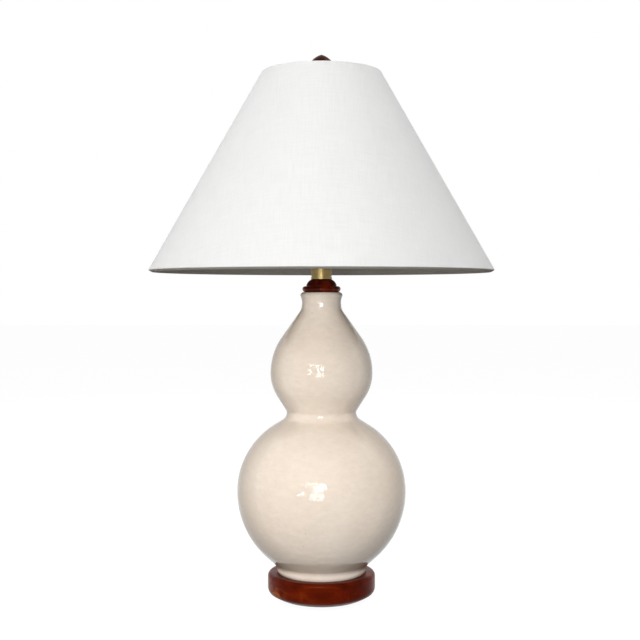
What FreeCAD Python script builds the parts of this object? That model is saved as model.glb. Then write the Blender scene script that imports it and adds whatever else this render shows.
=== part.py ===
import FreeCAD, Part
import math
import os
import re
import Sketcher

# A table lamp: a glazed double gourd on a turned wooden base, a brass neck and socket,
# and an empire shade that a harp carries over the bulb. Millimetres, +Z up. The origin
# is on the ground under the middle of the base. The harp stands in the YZ plane, and the
# switch knob points to +X. The cord hole is at the back, +Y.

SIZES = {
    # felt and wooden base
    "felt_radius": 45.0,
    "felt_thickness": 1.5,
    "base_radius": 66.5,
    "base_reveal": 10.2,
    "base_thickness": 30.7,
    "base_under_radius": 52.0,
    "base_under_rise": 12.7,
    "base_under_bow": 71.0,
    "base_corner_round": 9.4,
    "base_corner_turn": 45.0,
    "base_top_round": 4.5,
    "seat_depth": 2.0,
    "seat_clearance": 0.4,
    "well_radius": 30.0,
    "well_depth": 19.0,
    "cord_hole_radius": 4.5,
    "cord_hole_height": 14.3,
    # inlet bushing in the cord hole
    "grommet_bore": 3.2,
    "grommet_lip_radius": 6.6,
    "grommet_lip": 1.5,
    "grommet_length": 14.0,
    "push_clearance": 0.1,
    # clamping rod and what holds it
    "rod_radius": 4.85,
    "rod_bore": 3.2,
    "rod_tail": 3.0,
    "wood_clearance": 0.35,
    "thread_clearance": 0.15,
    "washer_radius": 16.0,
    "washer_thickness": 2.0,
    "lock_washer_radius": 8.5,
    "lock_washer_thickness": 0.9,
    "nut_flats": 14.3,
    "nut_thickness": 4.8,
    # ceramic gourd, station by station from the foot up
    "cushion_thickness": 0.8,
    "cushion_width": 5.0,
    "wall_thickness": 5.0,
    "foot_radius": "=base_radius - base_reveal",
    "foot_height": 6.0,
    "foot_edge_inset": 4.0,
    "foot_ring_width": 9.0,
    "foot_ring_depth": 1.4,
    "floor_thickness": 3.6,
    "floor_hole_radius": 12.0,
    "foot_hollow": 9.6,
    "belly_radius": 104.7,
    "belly_rise": 95.8,
    "belly_ease": 0.887,
    "waist_radius": 43.3,
    "waist_rise": 96.8,
    "waist_hollow": 10.7,
    "waist_ease": 0.9,
    "waist_upper_hollow": 5.4,
    "waist_upper_ease": 0.728,
    "upper_radius": 63.5,
    "upper_rise": 49.4,
    "neck_radius": 24.6,
    "neck_rise": 84.0,
    "neck_hollow": 14.3,
    "neck_ease": 0.711,
    "lip_radius": 26.4,
    "lip_rise": 11.7,
    "lip_hollow": 18.0,
    "lip_round": 4.6,
    # turned wooden cap on the mouth
    "spigot_radius": 18.7,
    "spigot_length": 8.0,
    "bead_radius": 3.6,
    "cap_radius": 23.8,
    "cap_height": 16.1,
    "cap_quirk_radius": 18.8,
    "cap_quirk_height": 1.3,
    "cap_crown_radius": 11.8,
    "cap_crown_bow": 12.0,
    # brass neck
    "brass_radius": 12.75,
    "brass_height": 15.0,
    "brass_bead_radius": 13.2,
    "brass_bead_height": 2.4,
    "brass_groove_radius": 12.0,
    "brass_groove_height": 0.9,
    # harp saddle
    "saddle_width": 12.7,
    "saddle_thickness": 1.5,
    "saddle_half_span": 26.5,
    "saddle_bend": 3.0,
    "shoulder_height": 10.0,
    "stud_width": 4.0,
    "stud_height": 9.0,
    # harp
    "harp_height": 216.0,
    "harp_half_width": 57.0,
    "harp_wire_radius": 1.9,
    "harp_leg_height": 20.0,
    "harp_leg_hollow": 96.0,
    "harp_leg_ease": 0.92,
    "harp_side_height": 17.0,
    "harp_foot_radius": 3.3,
    "harp_foot_height": 10.0,
    "slot_clearance": 0.1,
    "rest_gap": 0.05,
    "sleeve_radius": 4.2,
    "sleeve_length": 12.0,
    "harp_boss_radius": 6.0,
    "harp_boss_height": 6.0,
    "harp_boss_floor": 1.2,
    "harp_flange_radius": 9.5,
    "harp_flange_thickness": 2.0,
    "harp_stud_radius": 3.1,
    "harp_stud_length": 13.0,
    # socket, from the saddle up
    "hub_radius": 8.0,
    "hub_height": 4.5,
    "hub_floor": 1.8,
    "socket_cap_radius": 17.4,
    "socket_cap_height": 17.0,
    "socket_cap_rim": 5.5,
    "socket_cap_bow": 12.0,
    "sheet_thickness": 0.8,
    "slip_clearance": 0.2,
    "shell_lap": 4.6,
    "shell_length": 43.5,
    "shell_bead_radius": 17.3,
    "shell_bead_height": 2.0,
    "shell_rim_radius": 17.0,
    "shell_rim_height": 1.6,
    "liner_thickness": 0.7,
    "liner_setback": 0.8,
    "insert_length": 20.0,
    "screw_shell_wall": 0.45,
    "screw_shell_length": 22.0,
    "screw_shell_gap": 0.3,
    "screw_shell_lip": 4.5,
    "screw_shell_thread_depth": 0.5,
    "screw_shell_thread_turns": 5,
    "thread_pitch": 3.63,
    "contact_width": 5.0,
    "contact_length": 8.0,
    "contact_rise": 3.0,
    "contact_thickness": 0.5,
    "terminal_height": 9.0,
    "terminal_radius": 2.9,
    "terminal_depth": 2.6,
    "terminal_clearance": 0.5,
    "set_screw_radius": 1.5,
    "set_screw_reach": 2.2,
    "set_screw_slot": 0.6,
    # turn switch
    "switch_height": 12.0,
    "switch_stem_radius": 2.0,
    "switch_stem_start": 4.0,
    "switch_stem_reach": 8.5,
    "switch_running": 0.05,
    "switch_slot_gap": 0.9,
    "knob_gap": 3.0,
    "knob_radius": 5.4,
    "knob_length": 12.0,
    "knob_waist_radius": 3.6,
    "knob_waist_length": 2.5,
    "knob_taper_length": 1.5,
    "knob_round": 1.5,
    "knob_flute_radius": 1.1,
    "knob_flute_count": 10,
    # bulb
    "bulb_gap": 0.3,
    "bulb_contact_radius": 4.6,
    "bulb_contact_height": 1.2,
    "bulb_insulator_radius": 11.4,
    "bulb_insulator_height": 3.0,
    "bulb_cap_radius": 13.1,
    "bulb_cap_height": 22.5,
    "bulb_radius": 30.0,
    "bulb_length": 108.0,
    "bulb_cap_wall": 0.6,
    "bulb_cap_thread_depth": 0.7,
    "bulb_cap_thread_turns": 4,
    "bulb_cap_lead": 2.0,
    "bulb_neck_radius": 12.3,
    "bulb_collar": 1.0,
    "bulb_neck_hollow": 34.0,
    "bulb_ease": 0.96,
    "bulb_tail": 4.0,
    "glass_thickness": 0.8,
    # shade
    "shade_top_radius": 74.0,
    "shade_bottom_radius": 213.3,
    "shade_height": 246.3,
    "spider_drop": 15.9,
    "fabric_thickness": 0.6,
    "backing_thickness": 0.8,
    "glue_gap": 0.05,
    "ring_wire_radius": 1.6,
    "ring_gap": 0.35,
    "hem_flap": 9.0,
    "seam_width": 12.0,
    "spider_washer_radius": 12.0,
    "spider_washer_bore": 5.6,
    "spider_washer_thickness": 1.6,
    "spider_arm_radius": 1.5,
    "spider_arm_level": 34.0,
    "spider_arm_count": 3,
    "notch_clearance": 0.4,
    # finial
    "finial_ferrule_radius": 8.2,
    "finial_ferrule_height": 2.4,
    "finial_shank_radius": 5.2,
    "finial_bore_depth": 14.0,
    "finial_height": 36.6,
    "finial_foot_radius": 9.4,
    "finial_foot_height": 3.2,
    "finial_waist_radius": 6.6,
    "finial_waist_height": 7.5,
    "finial_knob_radius": 14.2,
    "finial_crown_height": 10.4,
    "finial_crown_bow": 26.0,
    "finial_tip_width": 1.2,
    "finial_tip_round": 2.0,
    "finial_under_bow": 17.0,
}

doc = FreeCAD.newDocument("lamp")
sheet = doc.addObject("Spreadsheet::Sheet", "Sizes")
for row, (size_name, size) in enumerate(SIZES.items(), start=1):
    sheet.set(f"A{row}", size_name)
    sheet.set(f"B{row}", str(size))
    sheet.setAlias(f"B{row}", size_name)
doc.recompute()

parts = {}


def value(formula):
    """Number that a formula over the sheet's sizes gives now."""
    return float(sheet.evalExpression(formula))


def linked(formula):
    """The same formula, with each size in it read from the sheet."""
    return re.sub(r"[a-z]+(_[a-z]+)+", lambda found: "Sizes." + found.group(), formula)


def bind(thing, place, formula):
    thing.setExpression(place, linked(formula))


def new_body(label):
    body = doc.addObject("PartDesign::Body", label)
    body.Label = label
    return body


def keep(label, thing):
    """Name a finished piece as one of the lamp's parts."""
    thing.Label = label
    parts[label] = thing
    return thing


def new_sketch(body, role, name):
    """Sketch on one of the body's own origin planes."""
    sketch = body.newObject("Sketcher::SketchObject", name)
    for feature in body.Origin.OriginFeatures:
        if feature.Role == role:
            sketch.AttachmentSupport = (feature, "")
    sketch.MapMode = "FlatFace"
    return sketch


def place_point(sketch, edge, end, across, up):
    """Hold one end of an edge at a place given by two formulas."""
    first = sketch.addConstraint(Sketcher.Constraint("DistanceX", -1, 1, edge, end, value(across)))
    bind(sketch, f"Constraints[{first}]", across)
    second = sketch.addConstraint(Sketcher.Constraint("DistanceY", -1, 1, edge, end, value(up)))
    bind(sketch, f"Constraints[{second}]", up)


def bent_edge(start, end, radius, side):
    """Arc between two places, its centre on the left or the right of the way between them."""
    chord = end - start
    half = chord.Length / 2
    sagitta = radius - math.sqrt(max(radius**2 - half**2, 0))
    outward = FreeCAD.Vector(chord.y, -chord.x, 0).normalize()
    if side == "right":
        return Part.Arc(end, (start + end) * 0.5 - outward * sagitta, start)
    return Part.Arc(start, (start + end) * 0.5 + outward * sagitta, end)


def draw(sketch, corners, closed=True):
    """Chain of edges through the corners.

    A corner is (across, up), or (across, up, radius, side) where the edge that leaves it
    is an arc. All but the side are formulas. An arc's own first point is the one that it
    leaves counter-clockwise, so an arc that bends to the right begins at its second point.
    """
    spots = [FreeCAD.Vector(value(corner[0]), value(corner[1]), 0) for corner in corners]
    count = len(corners) if closed else len(corners) - 1
    begins = [2 if corner[-1] == "right" else 1 for corner in corners]
    ends = [3 - begin for begin in begins]
    for edge in range(count):
        corner = corners[edge]
        start = spots[edge]
        end = spots[(edge + 1) % len(spots)]
        if len(corner) == 4:
            sketch.addGeometry(bent_edge(start, end, value(corner[2]), corner[3]))
        else:
            sketch.addGeometry(Part.LineSegment(start, end))
    for edge in range(count if closed else count - 1):
        after = (edge + 1) % count
        sketch.addConstraint(Sketcher.Constraint("Coincident", edge, ends[edge], after, begins[after]))
    for edge in range(count):
        corner = corners[edge]
        place_point(sketch, edge, begins[edge], corner[0], corner[1])
        if len(corner) == 4:
            radius = sketch.addConstraint(Sketcher.Constraint("Radius", edge, value(corner[2])))
            bind(sketch, f"Constraints[{radius}]", corner[2])
    if not closed:
        place_point(sketch, count - 1, ends[count - 1], corners[-1][0], corners[-1][1])


def draw_circle(sketch, across, up, radius):
    centre = FreeCAD.Vector(value(across), value(up), 0)
    edge = sketch.addGeometry(Part.Circle(centre, FreeCAD.Vector(0, 0, 1), value(radius)))
    place_point(sketch, edge, 3, across, up)
    size = sketch.addConstraint(Sketcher.Constraint("Radius", edge, value(radius)))
    bind(sketch, f"Constraints[{size}]", radius)


def revolve(body, corners, kind="PartDesign::Revolution"):
    """Turn a closed outline about the body's Z axis, adding or cutting."""
    sketch = new_sketch(body, "XZ_Plane", body.Label + "_outline")
    draw(sketch, corners)
    turn = body.newObject(kind, body.Label + "_turn")
    turn.Profile = sketch
    turn.ReferenceAxis = (sketch, ["V_Axis"])
    turn.Angle = 360
    body.Tip = turn
    return turn


def turned_blank(label, corners, height="0"):
    """A solid turned about the lamp's axis, its outline starting at the given height."""
    body = new_body(label)
    revolve(body, corners)
    bind(body, "Placement.Base.z", height)
    return body


def turned(label, corners, height="0"):
    """A finished piece turned about the lamp's axis."""
    return keep(label, turned_blank(label, corners, height))


def ring(label, inner, outer, height, thickness):
    """Flat ring on the lamp's axis."""
    outline = [(inner, "0"), (outer, "0"), (outer, thickness), (inner, thickness)]
    return turned(label, outline, height)


def extrude(body, sketch, length, kind="PartDesign::Pad", midplane=False, flipped=False):
    """Pad or pocket a sketch by a formula's length."""
    push = body.newObject(kind, body.Label + "_push")
    push.Profile = sketch
    bind(push, "Length", length)
    if midplane:
        push.SideType = "Symmetric"
    push.Reversed = flipped
    body.Tip = push
    return push


def drill(body, role, across, up, radius, length, flipped=False):
    """Round hole square to one of the body's planes, from that plane outwards."""
    sketch = new_sketch(body, role, body.Label + "_hole")
    draw_circle(sketch, across, up, radius)
    return extrude(body, sketch, length, "PartDesign::Pocket", flipped=flipped)


def s_bend(start, end, hollow, ease, hollow_first, inset="0"):
    """Corners of a flowing line between two places where it runs straight up.

    start and end are (across, up). The line is a concave arc of radius hollow, a straight
    flank and a convex arc, or the other way round. ease is the flank's slope as a share
    of the slope at which the two arcs meet with no flank between them. inset draws the
    same line that much nearer to the axis.
    """
    across = f"(({end[0]}) - ({start[0]}))"
    rise = f"(({end[1]}) - ({start[1]}))"
    wide = value(across) > 0
    span = across if wide else f"(0 - {across})"
    slope = f"(2 * {ease} * atan({span} / {rise}))"
    total = f"(({rise} * sin({slope}) - {span} * cos({slope})) / (1 - cos({slope})))"
    concave = f"({hollow} + ({inset}))"
    convex = f"({total} - {concave})"
    first, last = (concave, convex) if hollow_first else (convex, concave)
    sign = "+" if wide else "-"
    back = "-" if wide else "+"
    first_side, last_side = ("right", "left") if wide else ("left", "right")
    return [
        (f"{start[0]} - ({inset})", start[1], first, first_side),
        (
            f"{start[0]} - ({inset}) {sign} {first} * (1 - cos({slope}))",
            f"{start[1]} + {first} * sin({slope})",
        ),
        (
            f"{end[0]} - ({inset}) {back} {last} * (1 - cos({slope}))",
            f"{end[1]} - {last} * sin({slope})",
            last,
            last_side,
        ),
    ]


# Heights along the axis, from the ground up.
wood_top = "felt_thickness + base_thickness"
seat_floor = f"{wood_top} - seat_depth"
foot_level = f"{seat_floor} + cushion_thickness"
gourd_height = "foot_height + belly_rise + waist_rise + upper_rise + neck_rise + lip_rise + lip_round"
mouth_level = f"{foot_level} + {gourd_height}"
cap_top = f"{mouth_level} + cap_height"
saddle_level = f"{cap_top} + brass_height"
socket_level = f"{saddle_level} + saddle_thickness"
shoulder_level = f"{saddle_level} + shoulder_height"
harp_seat = f"{shoulder_level} + harp_height"
shade_top = f"{harp_seat} + spider_drop"
shade_bottom = f"{shade_top} - shade_height"
finial_level = f"{harp_seat} + spider_washer_thickness + 2 * rest_gap"
rod_hole = "rod_radius + wood_clearance"
thread_hole = "rod_radius + thread_clearance"


# ---- base ----

# Felt disc glued to the underside, over the well.
ring("base_felt", "0", "felt_radius", "0", "felt_thickness")

# Turned base: bowed underside, straight side, rounded top edge and a shallow seat for the
# foot. Below, a well holds the nut, and a side hole lets the cord in at the back.
corner_start = (
    "base_radius - base_corner_round * (1 - cos(base_corner_turn))",
    "base_under_rise - base_corner_round * sin(base_corner_turn)",
)
seat_radius = "foot_radius - foot_edge_inset / 2 + seat_clearance"
wood_base = turned(
    "wood_base",
    [
        ("well_radius", "0"),
        ("base_under_radius", "0", "base_under_bow", "left"),
        (*corner_start, "base_corner_round", "left"),
        ("base_radius", "base_under_rise"),
        ("base_radius", "base_thickness - base_top_round", "base_top_round", "left"),
        ("base_radius - base_top_round", "base_thickness"),
        (seat_radius, "base_thickness"),
        (seat_radius, "base_thickness - seat_depth"),
        (rod_hole, "base_thickness - seat_depth"),
        (rod_hole, "well_depth"),
        ("well_radius", "well_depth"),
    ],
    "felt_thickness",
)
drill(wood_base, "XZ_Plane", "0", "cord_hole_height", "cord_hole_radius", "base_radius + 1")

# Bushing in the cord hole. Its lip follows the round side of the base.
grommet = new_body("grommet_blank")
barrel_radius = "cord_hole_radius - push_clearance"
grommet_outer = "base_radius + grommet_lip"
revolve(
    grommet,
    [
        ("grommet_bore", f"{grommet_outer} - grommet_length"),
        (barrel_radius, f"{grommet_outer} - grommet_length"),
        (barrel_radius, "base_radius - 1"),
        ("grommet_lip_radius", "base_radius - 1"),
        ("grommet_lip_radius", grommet_outer),
        ("grommet_bore", grommet_outer),
    ],
)
cord_level = "felt_thickness + cord_hole_height"
grommet.Placement.Rotation = FreeCAD.Rotation(FreeCAD.Vector(1, 0, 0), -90)
bind(grommet, "Placement.Base.z", cord_level)
base_side = doc.addObject("Part::Cylinder", "base_side")
bind(base_side, "Radius", "base_radius + glue_gap")
bind(base_side, "Height", wood_top)
hole_plug = doc.addObject("Part::Cylinder", "hole_plug")
bind(hole_plug, "Radius", barrel_radius)
bind(hole_plug, "Height", "base_radius + grommet_lip + 1")
hole_plug.Placement.Rotation = FreeCAD.Rotation(FreeCAD.Vector(1, 0, 0), -90)
bind(hole_plug, "Placement.Base.z", cord_level)
side_without_hole = doc.addObject("Part::Cut", "side_without_hole")
side_without_hole.Base = base_side
side_without_hole.Tool = hole_plug
cord_grommet = doc.addObject("Part::Cut", "cord_grommet")
cord_grommet.Base = grommet
cord_grommet.Tool = side_without_hole
keep("cord_grommet", cord_grommet)

# Washer, lock washer and hexagon nut that draw the rod down against the wood.
well_top = "felt_thickness + well_depth"
washer_level = f"{well_top} - washer_thickness"
lock_level = f"{washer_level} - lock_washer_thickness"
nut_level = f"{lock_level} - nut_thickness"
ring("rod_washer", thread_hole, "washer_radius", washer_level, "washer_thickness")
ring("lock_washer", thread_hole, "lock_washer_radius", lock_level, "lock_washer_thickness")
nut_blank = doc.addObject("Part::Prism", "nut_blank")
nut_blank.Polygon = 6
bind(nut_blank, "Circumradius", "nut_flats / 2 / cos(30)")
bind(nut_blank, "Height", "nut_thickness")
bind(nut_blank, "Placement.Base.z", nut_level)
nut_hole = doc.addObject("Part::Cylinder", "nut_hole")
bind(nut_hole, "Radius", thread_hole)
bind(nut_hole, "Height", "nut_thickness")
bind(nut_hole, "Placement.Base.z", nut_level)
rod_nut = doc.addObject("Part::Cut", "rod_nut")
rod_nut.Base = nut_blank
rod_nut.Tool = nut_hole
keep("rod_nut", rod_nut)

# Threaded tube from the nut to the floor of the socket's cap.
rod_bottom = f"{nut_level} - rod_tail"
rod_top = f"{socket_level} + hub_height"
ring("threaded_rod", "rod_bore", "rod_radius", rod_bottom, f"({rod_top}) - ({rod_bottom})")

# ---- gourd ----

# Soft ring between the ceramic foot and its seat.
foot_edge = "(foot_radius - foot_edge_inset)"
ring("foot_cushion", f"{foot_edge} - cushion_width", foot_edge, seat_floor, "cushion_thickness")

# Ceramic shell. The outline runs through the stations where the wall stands upright:
# foot, belly, waist, upper bulb, neck and lip. The inside is the same line, one wall in.
# The foot is a low rounded band that turns in to the seat.
belly_level = "foot_height + belly_rise"
waist_level = f"{belly_level} + waist_rise"
upper_level = f"{waist_level} + upper_rise"
neck_level = f"{upper_level} + neck_rise"
lip_level = f"{neck_level} + lip_rise"
foot_bow = "((foot_edge_inset ^ 2 + foot_height ^ 2) / (2 * foot_edge_inset))"
foot = ("foot_radius", "foot_height")
belly = ("belly_radius", belly_level)
waist = ("waist_radius", waist_level)
upper = ("upper_radius", upper_level)
neck = ("neck_radius", neck_level)


def gourd_line(inset):
    """The gourd's wall from foot to neck, that far inside the outer face."""
    return (
        s_bend(foot, belly, "foot_hollow", "belly_ease", True, inset)
        + s_bend(belly, waist, "waist_hollow", "waist_ease", False, inset)
        + s_bend(waist, upper, "waist_upper_hollow", "waist_upper_ease", True, inset)
        + s_bend(upper, neck, "neck_hollow", "neck_ease", False, inset)
    )


neck_bore = "neck_radius - wall_thickness"
gourd = turned(
    "gourd_body",
    [("0", "0"), (foot_edge, "0", foot_bow, "left")]
    + gourd_line("0")
    + [
        ("neck_radius", neck_level, "lip_hollow", "right"),
        ("lip_radius", lip_level, "lip_round", "left"),
        ("lip_radius - lip_round", f"{lip_level} + lip_round"),
        ("0", f"{lip_level} + lip_round"),
    ],
    foot_level,
)
floor_top = "floor_thickness + foot_ring_depth"
inner_wall = gourd_line("wall_thickness")
revolve(
    gourd,
    [("0", floor_top), (inner_wall[0][0], floor_top)]
    + inner_wall
    + [
        (neck_bore, neck_level),
        (neck_bore, f"{lip_level} + lip_round"),
        ("0", f"{lip_level} + lip_round"),
    ],
    "PartDesign::Groove",
)
revolve(
    gourd,
    [
        ("0", "0"),
        ("foot_radius - foot_ring_width", "0"),
        ("foot_radius - foot_ring_width", "foot_ring_depth"),
        ("floor_hole_radius", "foot_ring_depth"),
        ("floor_hole_radius", floor_top),
        ("0", floor_top),
    ],
    "PartDesign::Groove",
)

# ---- cap and neck ----

# Turned wooden cap: a spigot in the mouth, a half-round bead, a quirk and a domed crown.
bead_centre = "cap_radius - bead_radius"
turned(
    "neck_cap",
    [
        (rod_hole, "0 - spigot_length"),
        ("spigot_radius", "0 - spigot_length"),
        ("spigot_radius", "0"),
        (bead_centre, "0", "bead_radius", "left"),
        ("cap_radius", "bead_radius", "bead_radius", "left"),
        (bead_centre, "2 * bead_radius"),
        ("cap_quirk_radius", "2 * bead_radius"),
        ("cap_quirk_radius", "2 * bead_radius + cap_quirk_height", "cap_crown_bow", "left"),
        ("cap_crown_radius", "cap_height"),
        (rod_hole, "cap_height"),
    ],
    mouth_level,
)

# Brass neck with a flat bead and a groove at each end.
groove_low = "brass_bead_height"
groove_high = "brass_height - brass_bead_height"
turned(
    "brass_neck",
    [
        (thread_hole, "0"),
        ("brass_bead_radius", "0"),
        ("brass_bead_radius", groove_low),
        ("brass_groove_radius", groove_low),
        ("brass_groove_radius", f"{groove_low} + brass_groove_height"),
        ("brass_radius", f"{groove_low} + brass_groove_height"),
        ("brass_radius", f"{groove_high} - brass_groove_height"),
        ("brass_groove_radius", f"{groove_high} - brass_groove_height"),
        ("brass_groove_radius", groove_high),
        ("brass_bead_radius", groove_high),
        ("brass_bead_radius", "brass_height"),
        (thread_hole, "brass_height"),
    ],
    cap_top,
)

# ---- harp ----

# Saddle: a strip bent up at both ends, each end narrowed to a stud above two shoulders.
saddle = keep("harp_saddle", new_body("harp_saddle"))
inner_span = "saddle_half_span - saddle_thickness"
outer_bend = "saddle_bend + saddle_thickness"
stud_top = "shoulder_height + stud_height"
strip = new_sketch(saddle, "YZ_Plane", "saddle_strip")
draw(
    strip,
    [
        (f"{outer_bend} - saddle_half_span", "0"),
        (f"saddle_half_span - ({outer_bend})", "0", outer_bend, "left"),
        ("saddle_half_span", outer_bend),
        ("saddle_half_span", stud_top),
        (inner_span, stud_top),
        (inner_span, outer_bend, "saddle_bend", "right"),
        (f"saddle_half_span - ({outer_bend})", "saddle_thickness"),
        (f"{outer_bend} - saddle_half_span", "saddle_thickness", "saddle_bend", "right"),
        (f"0 - ({inner_span})", outer_bend),
        (f"0 - ({inner_span})", stud_top),
        ("0 - saddle_half_span", stud_top),
        ("0 - saddle_half_span", outer_bend, outer_bend, "left"),
    ],
)
extrude(saddle, strip, "saddle_width", midplane=True)
for side in ("", "0 - "):
    waste = new_sketch(saddle, "XZ_Plane", "saddle_waste")
    draw(
        waste,
        [
            (f"{side}stud_width / 2", "shoulder_height"),
            (f"{side}saddle_width", "shoulder_height"),
            (f"{side}saddle_width", f"{stud_top} + 1"),
            (f"{side}stud_width / 2", f"{stud_top} + 1"),
        ],
    )
    extrude(saddle, waste, "4 * saddle_half_span", "PartDesign::Pocket", midplane=True)
drill(saddle, "XY_Plane", "0", "0", thread_hole, "2 * saddle_thickness", flipped=True)
bind(saddle, "Placement.Base.z", saddle_level)

# Harp: one wire bent over the bulb, with a slotted foot on each leg that drops over a stud.
harp = keep("harp_loop", new_body("harp_loop"))
leg_across = "saddle_half_span - saddle_thickness / 2"
arch_level = "harp_height - harp_boss_height + harp_flange_thickness - harp_half_width"
leg_end = (leg_across, "harp_leg_height")
side_end = ("harp_half_width", f"{arch_level} - harp_side_height")
leg_flow = s_bend(leg_end, side_end, "harp_leg_hollow", "harp_leg_ease", True)
wire_path = new_sketch(harp, "YZ_Plane", "harp_path")
half_path = [(leg_across, "harp_foot_height - 1")] + leg_flow + [side_end]
far_half = [("harp_half_width", arch_level, "harp_half_width", "left")]
top_corner = ("0", f"{arch_level} + harp_half_width", "harp_half_width", "left")
near_half = [
    ("0 - harp_half_width", arch_level),
    (f"0 - ({side_end[0]})", side_end[1], leg_flow[2][2], "left"),
    (f"0 - ({leg_flow[2][0]})", leg_flow[2][1]),
    (f"0 - ({leg_flow[1][0]})", leg_flow[1][1], leg_flow[0][2], "right"),
    (f"0 - ({leg_across})", "harp_leg_height"),
    (f"0 - ({leg_across})", "harp_foot_height - 1"),
]
draw(wire_path, half_path + far_half + [top_corner] + near_half, closed=False)
wire_section = new_sketch(harp, "XY_Plane", "harp_section")
bind(wire_section, "AttachmentOffset.Base.z", "harp_foot_height - 1")
draw_circle(wire_section, "0", leg_across, "harp_wire_radius")
wire = harp.newObject("PartDesign::AdditivePipe", "harp_wire")
wire.Profile = wire_section
wire.Spine = wire_path
harp.Tip = wire
foot_sketch = new_sketch(harp, "XY_Plane", "harp_feet")
bind(foot_sketch, "AttachmentOffset.Base.z", "rest_gap")
draw_circle(foot_sketch, "0", leg_across, "harp_foot_radius")
draw_circle(foot_sketch, "0", f"0 - ({leg_across})", "harp_foot_radius")
extrude(harp, foot_sketch, "harp_foot_height - rest_gap")
slot_half_width = "(stud_width / 2 + slot_clearance)"
slot_half_depth = "(saddle_thickness / 2 + slot_clearance)"
for side in ("", "0 - "):
    slot = new_sketch(harp, "XY_Plane", "harp_slot")
    near = f"{side}({leg_across} - {slot_half_depth})"
    far = f"{side}({leg_across} + {slot_half_depth})"
    draw(
        slot,
        [
            (f"0 - {slot_half_width}", near),
            (slot_half_width, near),
            (slot_half_width, far),
            (f"0 - {slot_half_width}", far),
        ],
    )
    slot_depth = "stud_height + slot_clearance"
    extrude(harp, slot, slot_depth, "PartDesign::Pocket", flipped=True)
bind(harp, "Placement.Base.z", shoulder_level)

# Boss round the top of the wire, with the flange that the spider rests on and the stud
# that the finial screws to. Its bore follows the wire's bend.
wire_level = "harp_flange_thickness - harp_boss_height"
boss_bottom = f"{wire_level} - harp_wire_radius - harp_boss_floor"
harp_boss = turned(
    "harp_stud",
    [
        ("0", boss_bottom),
        ("harp_boss_radius", boss_bottom),
        ("harp_boss_radius", "0 - harp_flange_thickness"),
        ("harp_flange_radius", "0 - harp_flange_thickness"),
        ("harp_flange_radius", "0"),
        ("harp_stud_radius", "0"),
        ("harp_stud_radius", "harp_stud_length"),
        ("0", "harp_stud_length"),
    ],
    harp_seat,
)
wire_way = new_sketch(harp_boss, "XZ_Plane", "wire_way")
draw_circle(wire_way, "0", wire_level, "harp_wire_radius + rest_gap")
bend_level = f"{wire_level} - harp_half_width"
bend_line = Part.LineSegment(
    FreeCAD.Vector(-value("harp_boss_radius"), value(bend_level), 0),
    FreeCAD.Vector(value("harp_boss_radius"), value(bend_level), 0),
)
bend_axis = wire_way.addGeometry(bend_line, True)
place_point(wire_way, bend_axis, 1, "0 - harp_boss_radius", bend_level)
place_point(wire_way, bend_axis, 2, "harp_boss_radius", bend_level)
wire_bore = harp_boss.newObject("PartDesign::Groove", "wire_bore")
wire_bore.Profile = wire_way
wire_bore.ReferenceAxis = (wire_way, ["Axis0"])
wire_bore.Angle = 360
harp_boss.Tip = wire_bore

# Ferrules that slide down over the feet and lock them to the saddle.
for label, side in (("sleeve_front", "0 - "), ("sleeve_back", "")):
    sleeve = ring(
        label,
        "harp_foot_radius + slot_clearance",
        "sleeve_radius",
        f"{shoulder_level} + rest_gap",
        "sleeve_length",
    )
    bind(sleeve, "Placement.Base.y", f"{side}({leg_across})")

# ---- socket ----

# Cap: a threaded hub with a bell above it, and a hole for the set screw.
socket_cap = turned(
    "socket_cap",
    [
        (thread_hole, "0"),
        ("hub_radius", "0"),
        ("hub_radius", "hub_height", "socket_cap_bow", "left"),
        ("socket_cap_radius", "socket_cap_height - socket_cap_rim"),
        ("socket_cap_radius", "socket_cap_height"),
        ("socket_cap_radius - sheet_thickness", "socket_cap_height"),
        (
            "socket_cap_radius - sheet_thickness",
            "socket_cap_height - socket_cap_rim",
            "socket_cap_bow - sheet_thickness",
            "right",
        ),
        ("hub_radius + 2 * hub_floor", "hub_height + hub_floor"),
        (thread_hole, "hub_height + hub_floor"),
    ],
    socket_level,
)
screw_level = "hub_height / 2"
screw_hole = "set_screw_radius + push_clearance"
drill(socket_cap, "YZ_Plane", "0", screw_level, screw_hole, "hub_radius + 1")

# Slotted screw that locks the cap on the rod. Its axis points to -X.
set_screw = keep("set_screw", new_body("set_screw"))
screw_head = f"({screw_level} - slip_clearance)"
screw_end = "hub_radius + set_screw_reach"
revolve(
    set_screw,
    [
        ("0", "rod_radius + slip_clearance"),
        ("set_screw_radius", "rod_radius + slip_clearance"),
        ("set_screw_radius", "hub_radius + rest_gap"),
        (screw_head, "hub_radius + rest_gap"),
        (screw_head, screw_end),
        ("0", screw_end),
    ],
)
slot_sketch = new_sketch(set_screw, "XZ_Plane", "screw_slot")
draw(
    slot_sketch,
    [
        ("0 - set_screw_slot / 2", f"{screw_end} - 2 * set_screw_slot"),
        ("set_screw_slot / 2", f"{screw_end} - 2 * set_screw_slot"),
        ("set_screw_slot / 2", f"{screw_end} + 1"),
        ("0 - set_screw_slot / 2", f"{screw_end} + 1"),
    ],
)
extrude(set_screw, slot_sketch, f"3 * {screw_head}", "PartDesign::Pocket", midplane=True)
set_screw.Placement.Rotation = FreeCAD.Rotation(FreeCAD.Vector(0, 1, 0), -90)
bind(set_screw, "Placement.Base.z", f"{socket_level} + {screw_level}")

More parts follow.
